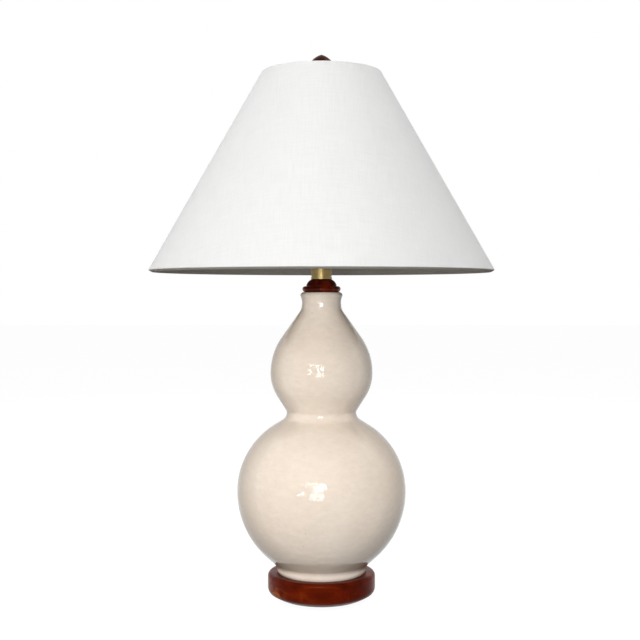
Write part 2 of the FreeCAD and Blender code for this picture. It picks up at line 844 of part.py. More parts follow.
# Shell that snaps into the cap, with a bead above the cap's rim and a rolled mouth.
shell_radius = "socket_cap_radius - sheet_thickness - slip_clearance"
shell_level = f"{socket_level} + socket_cap_height - shell_lap"
bead_start = "shell_lap + slip_clearance"
switch_in_shell = "liner_setback + switch_height"
socket_shell = turned(
    "socket_shell",
    [
        (f"{shell_radius} - sheet_thickness", "0"),
        (shell_radius, "0"),
        (shell_radius, bead_start),
        ("shell_bead_radius", f"{bead_start} + shell_bead_height / 4"),
        ("shell_bead_radius", f"{bead_start} + shell_bead_height * 3 / 4"),
        (shell_radius, f"{bead_start} + shell_bead_height"),
        (shell_radius, "shell_length - shell_rim_height"),
        ("shell_rim_radius", "shell_length - shell_rim_height / 2"),
        ("shell_rim_radius", "shell_length"),
        (f"{shell_radius} - sheet_thickness", "shell_length"),
    ],
    shell_level,
)


def stem_slot(body, centre_height):
    """Slot on the +X side, open at the bottom, that the body drops over the stem with."""
    wide = "(switch_stem_radius + switch_slot_gap)"
    sketch = new_sketch(body, "YZ_Plane", body.Label + "_slot")
    draw(
        sketch,
        [
            (f"0 - {wide}", "0 - 1"),
            (wide, "0 - 1"),
            (wide, centre_height, wide, "left"),
            ("0", f"{centre_height} + {wide}", wide, "left"),
            (f"0 - {wide}", centre_height),
        ],
    )
    extrude(body, sketch, "2 * socket_cap_radius", "PartDesign::Pocket", flipped=True)


stem_slot(socket_shell, switch_in_shell)

# Insulating cardboard tube inside the shell.
liner_radius = f"{shell_radius} - sheet_thickness - slip_clearance"
liner_bore = f"{liner_radius} - liner_thickness"
shell_liner = ring(
    "shell_liner",
    liner_bore,
    liner_radius,
    f"{shell_level} + liner_setback",
    "shell_length - 2 * liner_setback",
)
stem_slot(shell_liner, "switch_height")

# Moulded insert that holds the switch, with a recess at each side for a terminal screw.
insert_radius = f"({liner_bore} - slip_clearance)"
insert_level = f"{shell_level} + liner_setback"
insert_top = f"{insert_level} + insert_length"
recess_floor = f"({insert_radius} - terminal_depth)"
socket_insert = turned(
    "socket_insert",
    [("0", "0"), (insert_radius, "0"), (insert_radius, "insert_length"), ("0", "insert_length")],
    insert_level,
)
stem_bore = "switch_stem_radius + switch_running"
drill(socket_insert, "YZ_Plane", "0", "switch_height", stem_bore, "socket_cap_radius", flipped=True)
recess_radius = "terminal_radius + terminal_clearance"
for side, outward in (("", True), ("0 - ", False)):
    recess = new_sketch(socket_insert, "XZ_Plane", "terminal_recess")
    bind(recess, "AttachmentOffset.Base.z", f"{side}{recess_floor}")
    draw_circle(recess, "0", "terminal_height", recess_radius)
    extrude(socket_insert, recess, "socket_cap_radius", "PartDesign::Pocket", flipped=outward)

# Terminal screws' heads, one in each recess.
heads = []
for name, angle, side in (("terminal_live", -90, ""), ("terminal_neutral", 90, "0 - ")):
    head = doc.addObject("Part::Cylinder", name)
    bind(head, "Radius", "terminal_radius")
    bind(head, "Height", "terminal_depth - rest_gap - slip_clearance")
    head.Placement.Rotation = FreeCAD.Rotation(FreeCAD.Vector(1, 0, 0), angle)
    bind(head, "Placement.Base.y", f"{side}({recess_floor} + rest_gap)")
    bind(head, "Placement.Base.z", f"{insert_level} + terminal_height")
    heads.append(head)
terminal_screws = doc.addObject("Part::Compound", "terminal_screws")
terminal_screws.Links = heads
keep("terminal_screws", terminal_screws)

def rolled_thread(middle, start, depth, turns):
    """Corners of a thread rolled into a thin wall, going up, drawn as rings."""
    bend = f"((thread_pitch / 4) ^ 2 + ({depth} / 2) ^ 2) / {depth}"
    corners = []
    for turn in range(int(value(turns))):
        corners.append((middle, f"{start} + {turn} * thread_pitch", bend, "left"))
        corners.append((middle, f"{start} + {turn + 0.5} * thread_pitch", bend, "right"))
    return corners + [(middle, f"{start} + {turns} * thread_pitch")]


def going_down(corners):
    """The same corners the other way round, each arc on its own stretch."""
    backwards = corners[::-1]
    places = [corner[:2] for corner in backwards]
    bends = [corner[2:] for corner in backwards[1:]] + [()]
    turned_over = {"left": "right", "right": "left"}
    return [
        place + ((bend[0], turned_over[bend[1]]) if bend else ())
        for place, bend in zip(places, bends)
    ]


# Screw shell that takes the bulb's cap, with an inward lip on the insert. Its thread
# stands level with the cap's.
screw_bore = "bulb_cap_radius + screw_shell_gap"
bulb_rise = "contact_rise + bulb_gap"
bulb_cap_level = "bulb_contact_height + bulb_insulator_height"
shell_thread_start = f"{bulb_rise} + {bulb_cap_level} + bulb_cap_lead - 2 * thread_pitch"
shell_wall = ("screw_shell_thread_depth", "screw_shell_thread_turns")
shell_inside = f"{screw_bore} + screw_shell_thread_depth / 2"
turned(
    "screw_shell",
    [
        (f"{screw_bore} - screw_shell_lip", "0"),
        (f"{shell_inside} + screw_shell_wall", "0"),
    ]
    + rolled_thread(f"{shell_inside} + screw_shell_wall", shell_thread_start, *shell_wall)
    + [
        (f"{shell_inside} + screw_shell_wall", "screw_shell_length"),
        (shell_inside, "screw_shell_length"),
    ]
    + going_down(rolled_thread(shell_inside, shell_thread_start, *shell_wall))
    + [
        (shell_inside, "screw_shell_wall"),
        (f"{screw_bore} - screw_shell_lip", "screw_shell_wall"),
    ],
    insert_top,
)

# Sprung tongue under the bulb's tip.
centre_contact = keep("centre_contact", new_body("centre_contact"))
tongue = new_sketch(centre_contact, "XZ_Plane", "tongue")
draw(
    tongue,
    [
        ("0 - contact_length", "0"),
        ("0 - contact_length / 2", "0"),
        ("0 - contact_length / 4", "contact_rise - contact_thickness"),
        ("contact_length / 4", "contact_rise - contact_thickness"),
        ("contact_length / 4", "contact_rise"),
        ("0 - contact_length / 4 - contact_thickness", "contact_rise"),
        ("0 - contact_length / 2 - contact_thickness", "contact_thickness"),
        ("0 - contact_length", "contact_thickness"),
    ],
)
extrude(centre_contact, tongue, "contact_width", midplane=True)
bind(centre_contact, "Placement.Base.z", insert_top)

# ---- switch ----

# Stem of the turn switch, its axis along +X.
stem_end = f"{shell_radius} + switch_stem_reach"
stem_level = f"{insert_level} + switch_height"
switch_stem = keep("switch_stem", new_body("switch_stem"))
revolve(
    switch_stem,
    [
        ("0", "switch_stem_start"),
        ("switch_stem_radius", "switch_stem_start"),
        ("switch_stem_radius", stem_end),
        ("0", stem_end),
    ],
)
switch_stem.Placement.Rotation = FreeCAD.Rotation(FreeCAD.Vector(0, 1, 0), 90)
bind(switch_stem, "Placement.Base.z", stem_level)

# Fluted knob on the stem.
knob_start = f"({shell_radius} + knob_gap)"
knob_end = f"({knob_start} + knob_length)"
knob_bore = "switch_stem_radius + switch_running"
knob_shoulder = f"{knob_start} + knob_waist_length"
switch_knob = keep("switch_knob", new_body("switch_knob"))
revolve(
    switch_knob,
    [
        (knob_bore, knob_start),
        ("knob_waist_radius", knob_start),
        ("knob_waist_radius", knob_shoulder),
        ("knob_radius", f"{knob_shoulder} + knob_taper_length"),
        ("knob_radius", f"{knob_end} - knob_round", "knob_round", "left"),
        ("knob_radius - knob_round", knob_end),
        ("0", knob_end),
        ("0", f"{stem_end} + rest_gap"),
        (knob_bore, f"{stem_end} + rest_gap"),
    ],
)
flute_sketch = new_sketch(switch_knob, "XY_Plane", "flute")
draw_circle(flute_sketch, "knob_radius + knob_flute_radius / 2", "0", "knob_flute_radius")
flute = extrude(switch_knob, flute_sketch, f"{knob_end} + 1", "PartDesign::Pocket", flipped=True)
flutes = switch_knob.newObject("PartDesign::PolarPattern", "flutes")
flutes.Originals = [flute]
flutes.Axis = (flute_sketch, ["N_Axis"])
flutes.Angle = 360
bind(flutes, "Occurrences", "knob_flute_count")
switch_knob.Tip = flutes
switch_knob.Placement.Rotation = FreeCAD.Rotation(FreeCAD.Vector(0, 1, 0), 90)
bind(switch_knob, "Placement.Base.z", stem_level)

# ---- bulb ----

bulb_level = f"{insert_top} + {bulb_rise}"
insulator_level = "bulb_contact_height"
bulb_cap_top = f"{bulb_cap_level} + bulb_cap_height"
tip_ball = "(bulb_contact_radius ^ 2 + bulb_contact_height ^ 2) / (2 * bulb_contact_height)"
turned(
    "bulb_contact",
    [
        ("0", "0", tip_ball, "left"),
        ("bulb_contact_radius", "bulb_contact_height"),
        ("0", "bulb_contact_height"),
    ],
    bulb_level,
)
turned(
    "bulb_insulator",
    [
        ("0", insulator_level),
        ("bulb_contact_radius + slip_clearance", insulator_level),
        ("bulb_insulator_radius", bulb_cap_level),
        ("0", bulb_cap_level),
    ],
    bulb_level,
)

# Screw cap of the bulb, a cup of thin metal with a rolled thread below a plain skirt.
cap_outside = "bulb_cap_radius - bulb_cap_thread_depth / 2"
cap_inside = f"{cap_outside} - bulb_cap_wall"
cap_thread_start = f"{bulb_cap_level} + bulb_cap_lead"
cap_thread = (cap_thread_start, "bulb_cap_thread_depth", "bulb_cap_thread_turns")
skirt_start = f"{cap_thread_start} + bulb_cap_thread_turns * thread_pitch + bulb_cap_wall"
turned(
    "bulb_cap",
    [("0", bulb_cap_level), ("bulb_insulator_radius", bulb_cap_level)]
    + rolled_thread(cap_outside, *cap_thread)
    + [
        ("bulb_cap_radius", skirt_start),
        ("bulb_cap_radius", bulb_cap_top),
        ("bulb_cap_radius - bulb_cap_wall", bulb_cap_top),
        ("bulb_cap_radius - bulb_cap_wall", skirt_start),
    ]
    + going_down(rolled_thread(cap_inside, *cap_thread))
    + [
        (cap_inside, f"{bulb_cap_level} + 3 * bulb_cap_wall"),
        ("0", f"{bulb_cap_level} + 3 * bulb_cap_wall"),
    ],
    bulb_level,
)

# Glass bulb: a neck in the cap, a shoulder, and a round crown.
equator = ("bulb_radius", "bulb_length - bulb_radius")
bulb_neck = ("bulb_neck_radius", f"{bulb_cap_top} + bulb_collar")
bulb_glass = turned(
    "bulb_glass",
    [("0", f"{bulb_cap_top} - bulb_tail"), ("bulb_neck_radius", f"{bulb_cap_top} - bulb_tail")]
    + s_bend(bulb_neck, equator, "bulb_neck_hollow", "bulb_ease", True)
    + [(*equator, "bulb_radius", "left"), ("0", "bulb_length")],
    bulb_level,
)
glass_bore = "bulb_neck_radius - glass_thickness"
revolve(
    bulb_glass,
    [("0", f"{bulb_cap_top} - bulb_tail"), (glass_bore, f"{bulb_cap_top} - bulb_tail")]
    + s_bend(bulb_neck, equator, "bulb_neck_hollow", "bulb_ease", True, "glass_thickness")
    + [
        ("bulb_radius - glass_thickness", equator[1], "bulb_radius - glass_thickness", "left"),
        ("0", "bulb_length - glass_thickness"),
    ],
    "PartDesign::Groove",
)

# ---- shade ----

lean = "atan((shade_bottom_radius - shade_top_radius) / shade_height)"
slant = f"(shade_height / cos({lean}))"
flap_depth = "(fabric_thickness + backing_thickness + 2 * glue_gap)"
wire_depth = f"({flap_depth} - glue_gap + ring_gap + ring_wire_radius)"
roll = f"(({wire_depth} + ring_wire_radius + ring_gap + fabric_thickness) / 2)"


def on_shade(rise, depth, edge="bottom"):
    """Place that far up the slope from an edge of the shade and that deep under its face."""
    up_slope = f"({rise})" if edge == "bottom" else f"({slant} - ({rise}))"
    across = f"shade_bottom_radius - {up_slope} * sin({lean}) - ({depth}) * cos({lean})"
    up = f"{up_slope} * cos({lean}) - ({depth}) * sin({lean})"
    return across, up


def shade_layer(depth, thickness):
    """Outline of one conical layer, from the roll of one hem to that of the other."""
    return [
        on_shade(roll, depth),
        on_shade(roll, depth, "top"),
        on_shade(roll, f"{depth} + {thickness}", "top"),
        on_shade(roll, f"{depth} + {thickness}"),
    ]


# Cloth and the stiff sheet that it is glued to.
turned("shade_fabric", shade_layer("0", "fabric_thickness"), shade_bottom)
backing = shade_layer("fabric_thickness + glue_gap", "backing_thickness")
turned("shade_backing", backing, shade_bottom)

# Lap of the cloth along the seam at the back.
lap_outline = shade_layer("0 - fabric_thickness - glue_gap", "fabric_thickness")
lap_blank = turned_blank("lap_blank", lap_outline, shade_bottom)
lap_width = doc.addObject("Part::Box", "lap_width")
bind(lap_width, "Length", "seam_width")
bind(lap_width, "Width", "shade_bottom_radius + 1")
bind(lap_width, "Height", shade_top)
bind(lap_width, "Placement.Base.x", "0 - seam_width / 2")
seam_lap = doc.addObject("Part::Common", "seam_lap")
seam_lap.Base = lap_blank
seam_lap.Tool = lap_width
keep("seam_lap", seam_lap)


def hem(edge):
    """Outline of the cloth rolled round the wire at one edge and glued down on the inside."""
    outer_side, inner_side = ("right", "left") if edge == "bottom" else ("left", "right")
    inner_roll = f"({roll} - fabric_thickness)"
    bend = "ring_wire_radius * 2 / 3"
    tuck = "ring_wire_radius * 3"
    return [
        (*on_shade(roll, "0", edge), roll, outer_side),
        (*on_shade("0", roll, edge), roll, outer_side),
        on_shade(roll, f"2 * {roll}", edge),
        on_shade(f"{roll} + {bend}", f"2 * {roll}", edge),
        on_shade(f"{roll} + {tuck}", f"{flap_depth} + fabric_thickness", edge),
        on_shade(f"{roll} + hem_flap", f"{flap_depth} + fabric_thickness", edge),
        on_shade(f"{roll} + hem_flap", flap_depth, edge),
        on_shade(f"{roll} + {tuck}", flap_depth, edge),
        on_shade(f"{roll} + {bend}", f"2 * {roll} - fabric_thickness", edge),
        (*on_shade(roll, f"2 * {roll} - fabric_thickness", edge), inner_roll, inner_side),
        (*on_shade("fabric_thickness", roll, edge), inner_roll, inner_side),
        on_shade(roll, "fabric_thickness", edge),
    ]


turned("bottom_hem", hem("bottom"), shade_bottom)
top_hem_blank = turned_blank("top_hem_blank", hem("top"), shade_bottom)

# Wire ring in the bottom hem.
ring_across, ring_up = on_shade(roll, wire_depth)
bottom_ring = doc.addObject("Part::Torus", "bottom_ring")
bind(bottom_ring, "Radius1", ring_across)
bind(bottom_ring, "Radius2", "ring_wire_radius")
bind(bottom_ring, "Placement.Base.z", f"{shade_bottom} + {ring_up}")
keep("bottom_ring", bottom_ring)

# Spider: a washer on the harp's flange, three arms that rise outwards, and the top ring.
top_across, top_up = on_shade(roll, wire_depth, "top")
washer_base = "shade_height - spider_drop + rest_gap"
arm_height = f"{washer_base} + spider_washer_thickness / 2"
arm_start = "spider_washer_radius - spider_arm_radius"
arm_span = f"({top_across} - spider_arm_level)"
arm_rise = f"({top_up} - ({arm_height}))"


def spider_arm(body, wire_radius):
    """Sweep one arm in the XZ plane: level at first, then an arc up to the ring."""
    path = new_sketch(body, "XZ_Plane", "arm_path")
    arc_radius = f"(({arm_span}) ^ 2 + ({arm_rise}) ^ 2) / (2 * {arm_rise})"
    corners = [
        (arm_start, arm_height),
        ("spider_arm_level", arm_height, arc_radius, "left"),
        (top_across, top_up),
    ]
    draw(path, corners, closed=False)
    section = new_sketch(body, "YZ_Plane", "arm_section")
    bind(section, "AttachmentOffset.Base.z", arm_start)
    draw_circle(section, "0", arm_height, wire_radius)
    arm = body.newObject("PartDesign::AdditivePipe", "arm")
    arm.Profile = section
    arm.Spine = path
    body.Tip = arm
    arms = body.newObject("PartDesign::PolarPattern", "arms")
    arms.Originals = [arm]
    arms.Axis = (new_sketch(body, "XY_Plane", "arm_axis"), ["N_Axis"])
    arms.Angle = 360
    bind(arms, "Occurrences", "spider_arm_count")
    body.Tip = arms


def spider_hub(body):
    """Washer in the middle of the spider."""
    revolve(
        body,
        [
            ("spider_washer_bore", washer_base),
            ("spider_washer_radius", washer_base),
            ("spider_washer_radius", f"{washer_base} + spider_washer_thickness"),
            ("spider_washer_bore", f"{washer_base} + spider_washer_thickness"),
        ],
    )


spider = keep("spider_fitter", new_body("spider_fitter"))
spider_hub(spider)
spider_arm(spider, "spider_arm_radius")
ring_sketch = new_sketch(spider, "XZ_Plane", "top_ring_section")
draw_circle(ring_sketch, top_across, top_up, "ring_wire_radius")
top_ring = spider.newObject("PartDesign::Revolution", "top_ring")
top_ring.Profile = ring_sketch
top_ring.ReferenceAxis = (ring_sketch, ["V_Axis"])
top_ring.Angle = 360
spider.Tip = top_ring
bind(spider, "Placement.Base.z", shade_bottom)

# The top hem, notched where the arms pass.
notches = new_body("arm_notches")
spider_hub(notches)
spider_arm(notches, "spider_arm_radius + notch_clearance")
bind(notches, "Placement.Base.z", shade_bottom)
top_hem = doc.addObject("Part::Cut", "top_hem")
top_hem.Base = top_hem_blank
top_hem.Tool = notches
keep("top_hem", top_hem)

# ---- finial ----

# Threaded brass insert with a ferrule that clamps the spider's washer.
finial_bore = "harp_stud_radius + switch_running"
turned(
    "finial_insert",
    [
        (finial_bore, "0"),
        ("finial_ferrule_radius", "0"),
        ("finial_ferrule_radius", "finial_ferrule_height"),
        ("finial_shank_radius", "finial_ferrule_height"),
        ("finial_shank_radius", "finial_bore_depth + sheet_thickness"),
        ("0", "finial_bore_depth + sheet_thickness"),
        ("0", "finial_bore_depth"),
        (finial_bore, "finial_bore_depth"),
    ],
    finial_level,
)

# Turned wooden knob: a half-round foot, a waist and a pointed crown.
foot_round = "finial_foot_height / 2"
foot_centre = f"finial_foot_radius - {foot_round}"
foot_top = "finial_ferrule_height + finial_foot_height"
crown_level = "finial_height - finial_crown_height"
tip_rise = "(finial_tip_round - sqrt(finial_tip_round ^ 2 - finial_tip_width ^ 2))"
insert_hole = "finial_shank_radius + push_clearance"
turned(
    "finial_knob",
    [
        (insert_hole, "finial_ferrule_height"),
        (foot_centre, "finial_ferrule_height", foot_round, "left"),
        ("finial_foot_radius", f"finial_ferrule_height + {foot_round}", foot_round, "left"),
        (foot_centre, foot_top),
        ("finial_waist_radius", foot_top),
        ("finial_waist_radius", f"{foot_top} + finial_waist_height", "finial_under_bow", "left"),
        ("finial_knob_radius", crown_level, "finial_crown_bow", "left"),
        ("finial_tip_width", f"finial_height - {tip_rise}", "finial_tip_round", "left"),
        ("0", "finial_height"),
        ("0", "finial_bore_depth + 2 * sheet_thickness"),
        (insert_hole, "finial_bore_depth + 2 * sheet_thickness"),
    ],
    finial_level,
)

# ---- export ----
doc.recompute()
os.makedirs("parts", exist_ok=True)
for thing in doc.Objects:
    if "Invalid" in thing.State or "Error" in thing.State:
        raise RuntimeError(f"{thing.Label} failed: {thing.State}")
for label, thing in parts.items():
    shape = thing.Shape
    if shape.isNull() or not shape.isValid():
        raise RuntimeError(f"{label} has no valid shape")
    shape.exportStep(f"parts/{label}.step")
    print(f"{label}: {len(shape.Solids)} solid, {shape.Volume:.1f} mm3")
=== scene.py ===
import math

import bmesh
import bpy
from mathutils import Matrix, Vector


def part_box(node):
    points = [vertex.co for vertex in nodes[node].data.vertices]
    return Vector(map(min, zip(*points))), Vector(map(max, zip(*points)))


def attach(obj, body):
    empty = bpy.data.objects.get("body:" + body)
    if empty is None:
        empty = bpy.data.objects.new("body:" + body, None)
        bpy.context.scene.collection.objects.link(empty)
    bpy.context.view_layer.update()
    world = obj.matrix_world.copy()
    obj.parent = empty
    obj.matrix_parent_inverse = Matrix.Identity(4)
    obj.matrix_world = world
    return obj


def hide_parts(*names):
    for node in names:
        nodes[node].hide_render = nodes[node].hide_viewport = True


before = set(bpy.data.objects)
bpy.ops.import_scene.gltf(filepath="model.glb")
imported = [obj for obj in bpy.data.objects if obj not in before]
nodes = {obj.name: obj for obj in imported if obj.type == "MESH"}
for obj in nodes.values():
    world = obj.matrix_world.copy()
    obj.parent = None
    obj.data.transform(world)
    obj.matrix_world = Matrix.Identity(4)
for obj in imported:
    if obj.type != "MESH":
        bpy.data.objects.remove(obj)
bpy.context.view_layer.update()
bpy.context.scene.view_settings.view_transform = "Standard"

# ---- wooden base ----
# A disc turned from a mahogany board, stained dark red-brown and lacquered to a gloss.
# The grain runs from side to side, so its ends show at the left and the right.


def feed(tree, socket, value):
    """Give a socket its value, or link it where the value is another node's output."""
    if isinstance(value, bpy.types.NodeSocket):
        tree.links.new(value, socket)
    else:
        socket.default_value = value


def fill(tree, node, **sockets):
    """Feed a node's named sockets. An underscore in a name stands for a space."""
    for name, value in sockets.items():
        feed(tree, node.inputs[name.replace("_", " ")], value)


def add_node(tree, kind, settings=None, **sockets):
    """New node in a tree, with its settings made and its named sockets fed."""
    node = tree.nodes.new(kind)
    for name, value in (settings or {}).items():
        setattr(node, name, value)
    fill(tree, node, **sockets)
    return node


def noise(tree, place, scale, detail, **more):
    """Mask of a noise texture. At scale 1 its features are about a metre across."""
    node = add_node(
        tree, "ShaderNodeTexNoise", Vector=place, Scale=scale, Detail=detail, **more
    )
    return node.outputs["Fac"]


def mixed(tree, factor, first, second, blend="MIX"):
    """Colour between two colours or sockets."""
    node = add_node(tree, "ShaderNodeMix", {"data_type": "RGBA", "blend_type": blend})
    factor_socket, first_socket, second_socket = (node.inputs[i] for i in (0, 6, 7))
    feed(tree, factor_socket, factor)
    feed(tree, first_socket, first)
    feed(tree, second_socket, second)
    return node.outputs[2]


def ranged(tree, value, low, high, to_low=0.0, to_high=1.0):
    """A value stretched from one range to another, and clamped."""
    node = add_node(
        tree,
        "ShaderNodeMapRange",
        Value=value,
        From_Min=low,
        From_Max=high,
        To_Min=to_low,
        To_Max=to_high,
    )
    return node.outputs["Result"]


def calculate(tree, operation, first, second):
    """Sum, product or comparison of two values or sockets."""
    node = add_node(tree, "ShaderNodeMath", {"operation": operation})
    feed(tree, node.inputs[0], first)
    feed(tree, node.inputs[1], second)
    return node.outputs[0]


def new_effect(name, inputs, outputs):
    """Shader node group with named sockets, and its two end nodes."""
    group = bpy.data.node_groups.new(name, "ShaderNodeTree")
    kinds = {
        "vector": "NodeSocketVector",
        "colour": "NodeSocketColor",
        "number": "NodeSocketFloat",
    }
    for socket, kind, value in inputs:
        made = group.interface.new_socket(socket, in_out="INPUT", socket_type=kinds[kind])
        made.default_value = value
    for socket, kind in outputs:
        group.interface.new_socket(socket, in_out="OUTPUT", socket_type=kinds[kind])
    return group, group.nodes.new("NodeGroupInput"), group.nodes.new("NodeGroupOutput")


def use_effect(tree, effect, **sockets):
    """Node that applies a shader node group."""
    return add_node(tree, "ShaderNodeGroup", {"node_tree": effect}, **sockets)


def new_material(name, **sockets):
    """Material with a Principled BSDF, whose sockets get the given values."""
    material = bpy.data.materials.new(name)
    material.use_nodes = True
    shader = material.node_tree.nodes["Principled BSDF"]
    fill(material.node_tree, shader, **sockets)
    return material, material.node_tree, shader


def relief(tree, shader, height, depth, strength=1.0):
    """Bump the shader's surface by a height in metres times depth."""
    bump = add_node(
        tree, "ShaderNodeBump", Height=height, Distance=depth, Strength=strength
    )
    fill(tree, shader, Normal=bump.outputs["Normal"])


def placed(tree, turn=(0, 0, 0), stretch=(1, 1, 1), shift=(0, 0, 0)):
    """Object coordinates, turned, stretched and shifted."""
    coordinates = tree.nodes.new("ShaderNodeTexCoord")
    mapping = add_node(
        tree,
        "ShaderNodeMapping",
        Vector=coordinates.outputs["Object"],
        Location=shift,
        Rotation=turn,
        Scale=stretch,
    )
    return mapping.outputs["Vector"]


grain, grain_in, grain_out = new_effect(
    "wood_grain",
    [
        ("Place", "vector", (0, 0, 0)),
        ("Dark", "colour", (0.034, 0.0022, 0.0006, 1)),
        ("Body", "colour", (0.130, 0.0085, 0.0005, 1)),
        ("Light", "colour", (0.40, 0.105, 0.008, 1)),
    ],
    [("Colour", "colour"), ("Gloss", "number"), ("Height", "number")],
)
grain_place = grain_in.outputs["Place"]
grain_length = (1, 1, 0.07)
along = add_node(
    grain, "ShaderNodeMapping", Vector=grain_place, Scale=grain_length
).outputs["Vector"]
figure = noise(grain, along, 42.0, 4.0, Roughness=0.55, Distortion=1.2)
fibres = noise(grain, along, 900.0, 3.0, Roughness=0.6)
cloudy = noise(grain, grain_place, 14.0, 2.0)
pores = add_node(grain, "ShaderNodeTexVoronoi", Vector=along, Scale=1400.0)
year_rings = add_node(
    grain,
    "ShaderNodeTexWave",
    {"wave_type": "RINGS", "rings_direction": "Z"},
    Vector=along,
    Scale=9.0,
    Distortion=5.0,
    Detail=3.0,
    Detail_Scale=3.0,
)
ribbon_mask = calculate(grain, "MULTIPLY", ranged(grain, figure, 0.36, 0.64), 0.7)
ring_mask = calculate(grain, "MULTIPLY", year_rings.outputs["Fac"], 0.45)
stain_mask = calculate(grain, "ADD", ribbon_mask, ring_mask)
stained = mixed(
    grain,
    ranged(grain, stain_mask, 0.15, 0.95),
    grain_in.outputs["Dark"],
    grain_in.outputs["Body"],
)
# Lighter orange streaks: partly the wood's figure, partly a painted highlight where light
# catches the lacquer.
figure_and_painted_highlight = calculate(
    grain,
    "MULTIPLY",
    ranged(grain, figure, 0.50, 0.70),
    ranged(grain, cloudy, 0.42, 0.62),
)
streaked = mixed(grain, figure_and_painted_highlight, stained, grain_in.outputs["Light"])
fibre_tone = ranged(grain, fibres, 0.3, 0.7, 0.80, 1.12)
toned = mixed(grain, 1.0, streaked, fibre_tone, "MULTIPLY")
pore_mask = ranged(grain, pores.outputs["Distance"], 0.05, 0.28, 0.55, 1.0)
fill(
    grain,
    grain_out,
    Colour=mixed(grain, 1.0, toned, pore_mask, "MULTIPLY"),
    Gloss=ranged(grain, fibres, 0.3, 0.7, 0.36, 0.26),
    Height=pore_mask,
)


def lacquered_wood(name, turn, shift, coat, **colours):
    """Wood with its grain turned and shifted, a weight of lacquer, and its own stain."""
    material, tree, shader = new_material(
        name,
        Specular_IOR_Level=0.05,
        Specular_Tint=(1.0, 0.35, 0.06, 1),
        Coat_Weight=coat,
        Coat_Roughness=0.05,
        Coat_IOR=1.4,
    )
    wood = use_effect(tree, grain, Place=placed(tree, turn, shift=shift), **colours)
    fill(tree, shader, Base_Color=wood.outputs["Colour"], Roughness=wood.outputs["Gloss"])
    relief(tree, shader, wood.outputs["Height"], 0.00004)
    return material


sharpest_bend = math.radians(32)


def finish_node(name, material):
    """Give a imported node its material, and shade it smoothly between its real edges."""
    node = nodes[name]
    node.data.materials.clear()
    node.data.materials.append(material)
    for face in node.data.polygons:
        face.use_smooth = True
    weld = node.modifiers.new("weld", "WELD")
    weld.merge_threshold = 0.000002
    split = node.modifiers.new("edges", "EDGE_SPLIT")
    split.split_angle = sharpest_bend


# The shift places more of the lighter streaks, partly painted highlight, on the base's top and
# left.
base_turn = (0, math.radians(90), math.radians(8))
finish_node(
    "wood_base", lacquered_wood("base_mahogany", base_turn, (0.3, 0.02, 0.05), 0.05)
)

# ---- felt ----
# A disc of dark wool felt, die-cut and glued under the base over the nut's well, so that
# the lamp doesn't scratch a table. Its cut edge is slightly rounded by wear.


def new_piece(name, shape, body, material):
    """Object from a finished bmesh, smoothly shaded and riding on a body."""
    mesh = bpy.data.meshes.new(name)
    shape.to_mesh(mesh)
    shape.free()
    mesh.materials.append(material)
    for face in mesh.polygons:
        face.use_smooth = True
    piece = bpy.data.objects.new(name, mesh)
    bpy.context.scene.collection.objects.link(piece)
    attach(piece, body)
    return piece


felt_material, felt_tree, felt_shader = new_material(
    "wool_felt", Roughness=0.95, Sheen_Weight=0.4, Sheen_Roughness=0.6
)
felt_place = placed(felt_tree)
wool = noise(felt_tree, felt_place, 900.0, 6.0)
matting = noise(felt_tree, felt_place, 90.0, 3.0)
wool_tone = mixed(
    felt_tree,
    ranged(felt_tree, wool, 0.35, 0.7),
    (0.008, 0.007, 0.006, 1),
    (0.030, 0.026, 0.022, 1),
)
matted_tone = ranged(felt_tree, matting, 0.3, 0.7, 0.75, 1.2)
fill(
    felt_tree,
    felt_shader,
    Base_Color=mixed(felt_tree, 1.0, wool_tone, matted_tone, "MULTIPLY"),
)
relief(felt_tree, felt_shader, wool, 0.0006)

felt_low, felt_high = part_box("base_felt")
worn_edge = 0.0004
felt_shape = bmesh.new()
bmesh.ops.create_circle(
    felt_shape,
    cap_ends=True,
    segments=96,
    radius=felt_high.x,
    matrix=Matrix.Translation((0, 0, felt_low.z)),
)
felt_walls = bmesh.ops.extrude_face_region(felt_shape, geom=felt_shape.faces[:])
bmesh.ops.translate(
    felt_shape,
    vec=(0, 0, felt_high.z - felt_low.z),
    verts=[v for v in felt_walls["geom"] if isinstance(v, bmesh.types.BMVert)],
)
bmesh.ops.recalc_face_normals(felt_shape, faces=felt_shape.faces[:])
bmesh.ops.bevel(
    felt_shape,
    geom=[e for e in felt_shape.edges if e.calc_face_angle(0) > 1],
    offset=worn_edge,
    segments=3,
    profile=0.5,
    affect="EDGES",
    material=-1,
)
felt = new_piece("felt_pad", felt_shape, "stand", felt_material)
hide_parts("base_felt")

# ---- clamping hardware ----
# Zinc-plated steel: the hollow threaded rod that draws the whole lamp together, its nut,
# washer and lock washer in the well, and the set screw of the socket. The rod's thread is
# fine, 27 turns to the inch. The wire ring in the shade's bottom edge is plated the same.

scratches, scratches_in, scratches_out = new_effect(
    "fine_scratches",
    [("Place", "vector", (0, 0, 0)), ("Base", "number", 0.3)],
    [("Roughness", "number"), ("Height", "number"), ("Tone", "number")],
)
scratched_place = scratches_in.outputs["Place"]
smudges = noise(scratches, scratched_place, 60.0, 3.0)
uneven = ranged(scratches, smudges, 0.3, 0.7, -0.06, 0.08)
fill(
    scratches,
    scratches_out,
    Roughness=calculate(scratches, "ADD", scratches_in.outputs["Base"], uneven),
    Height=noise(scratches, scratched_place, 600.0, 5.0, Roughness=0.7),
    Tone=ranged(scratches, smudges, 0.25, 0.75, 0.86, 1.05),
)


def wave_scale(period):
    """Scale at which the bands of a wave texture repeat once in a period in metres."""
    return math.pi / 10 / period


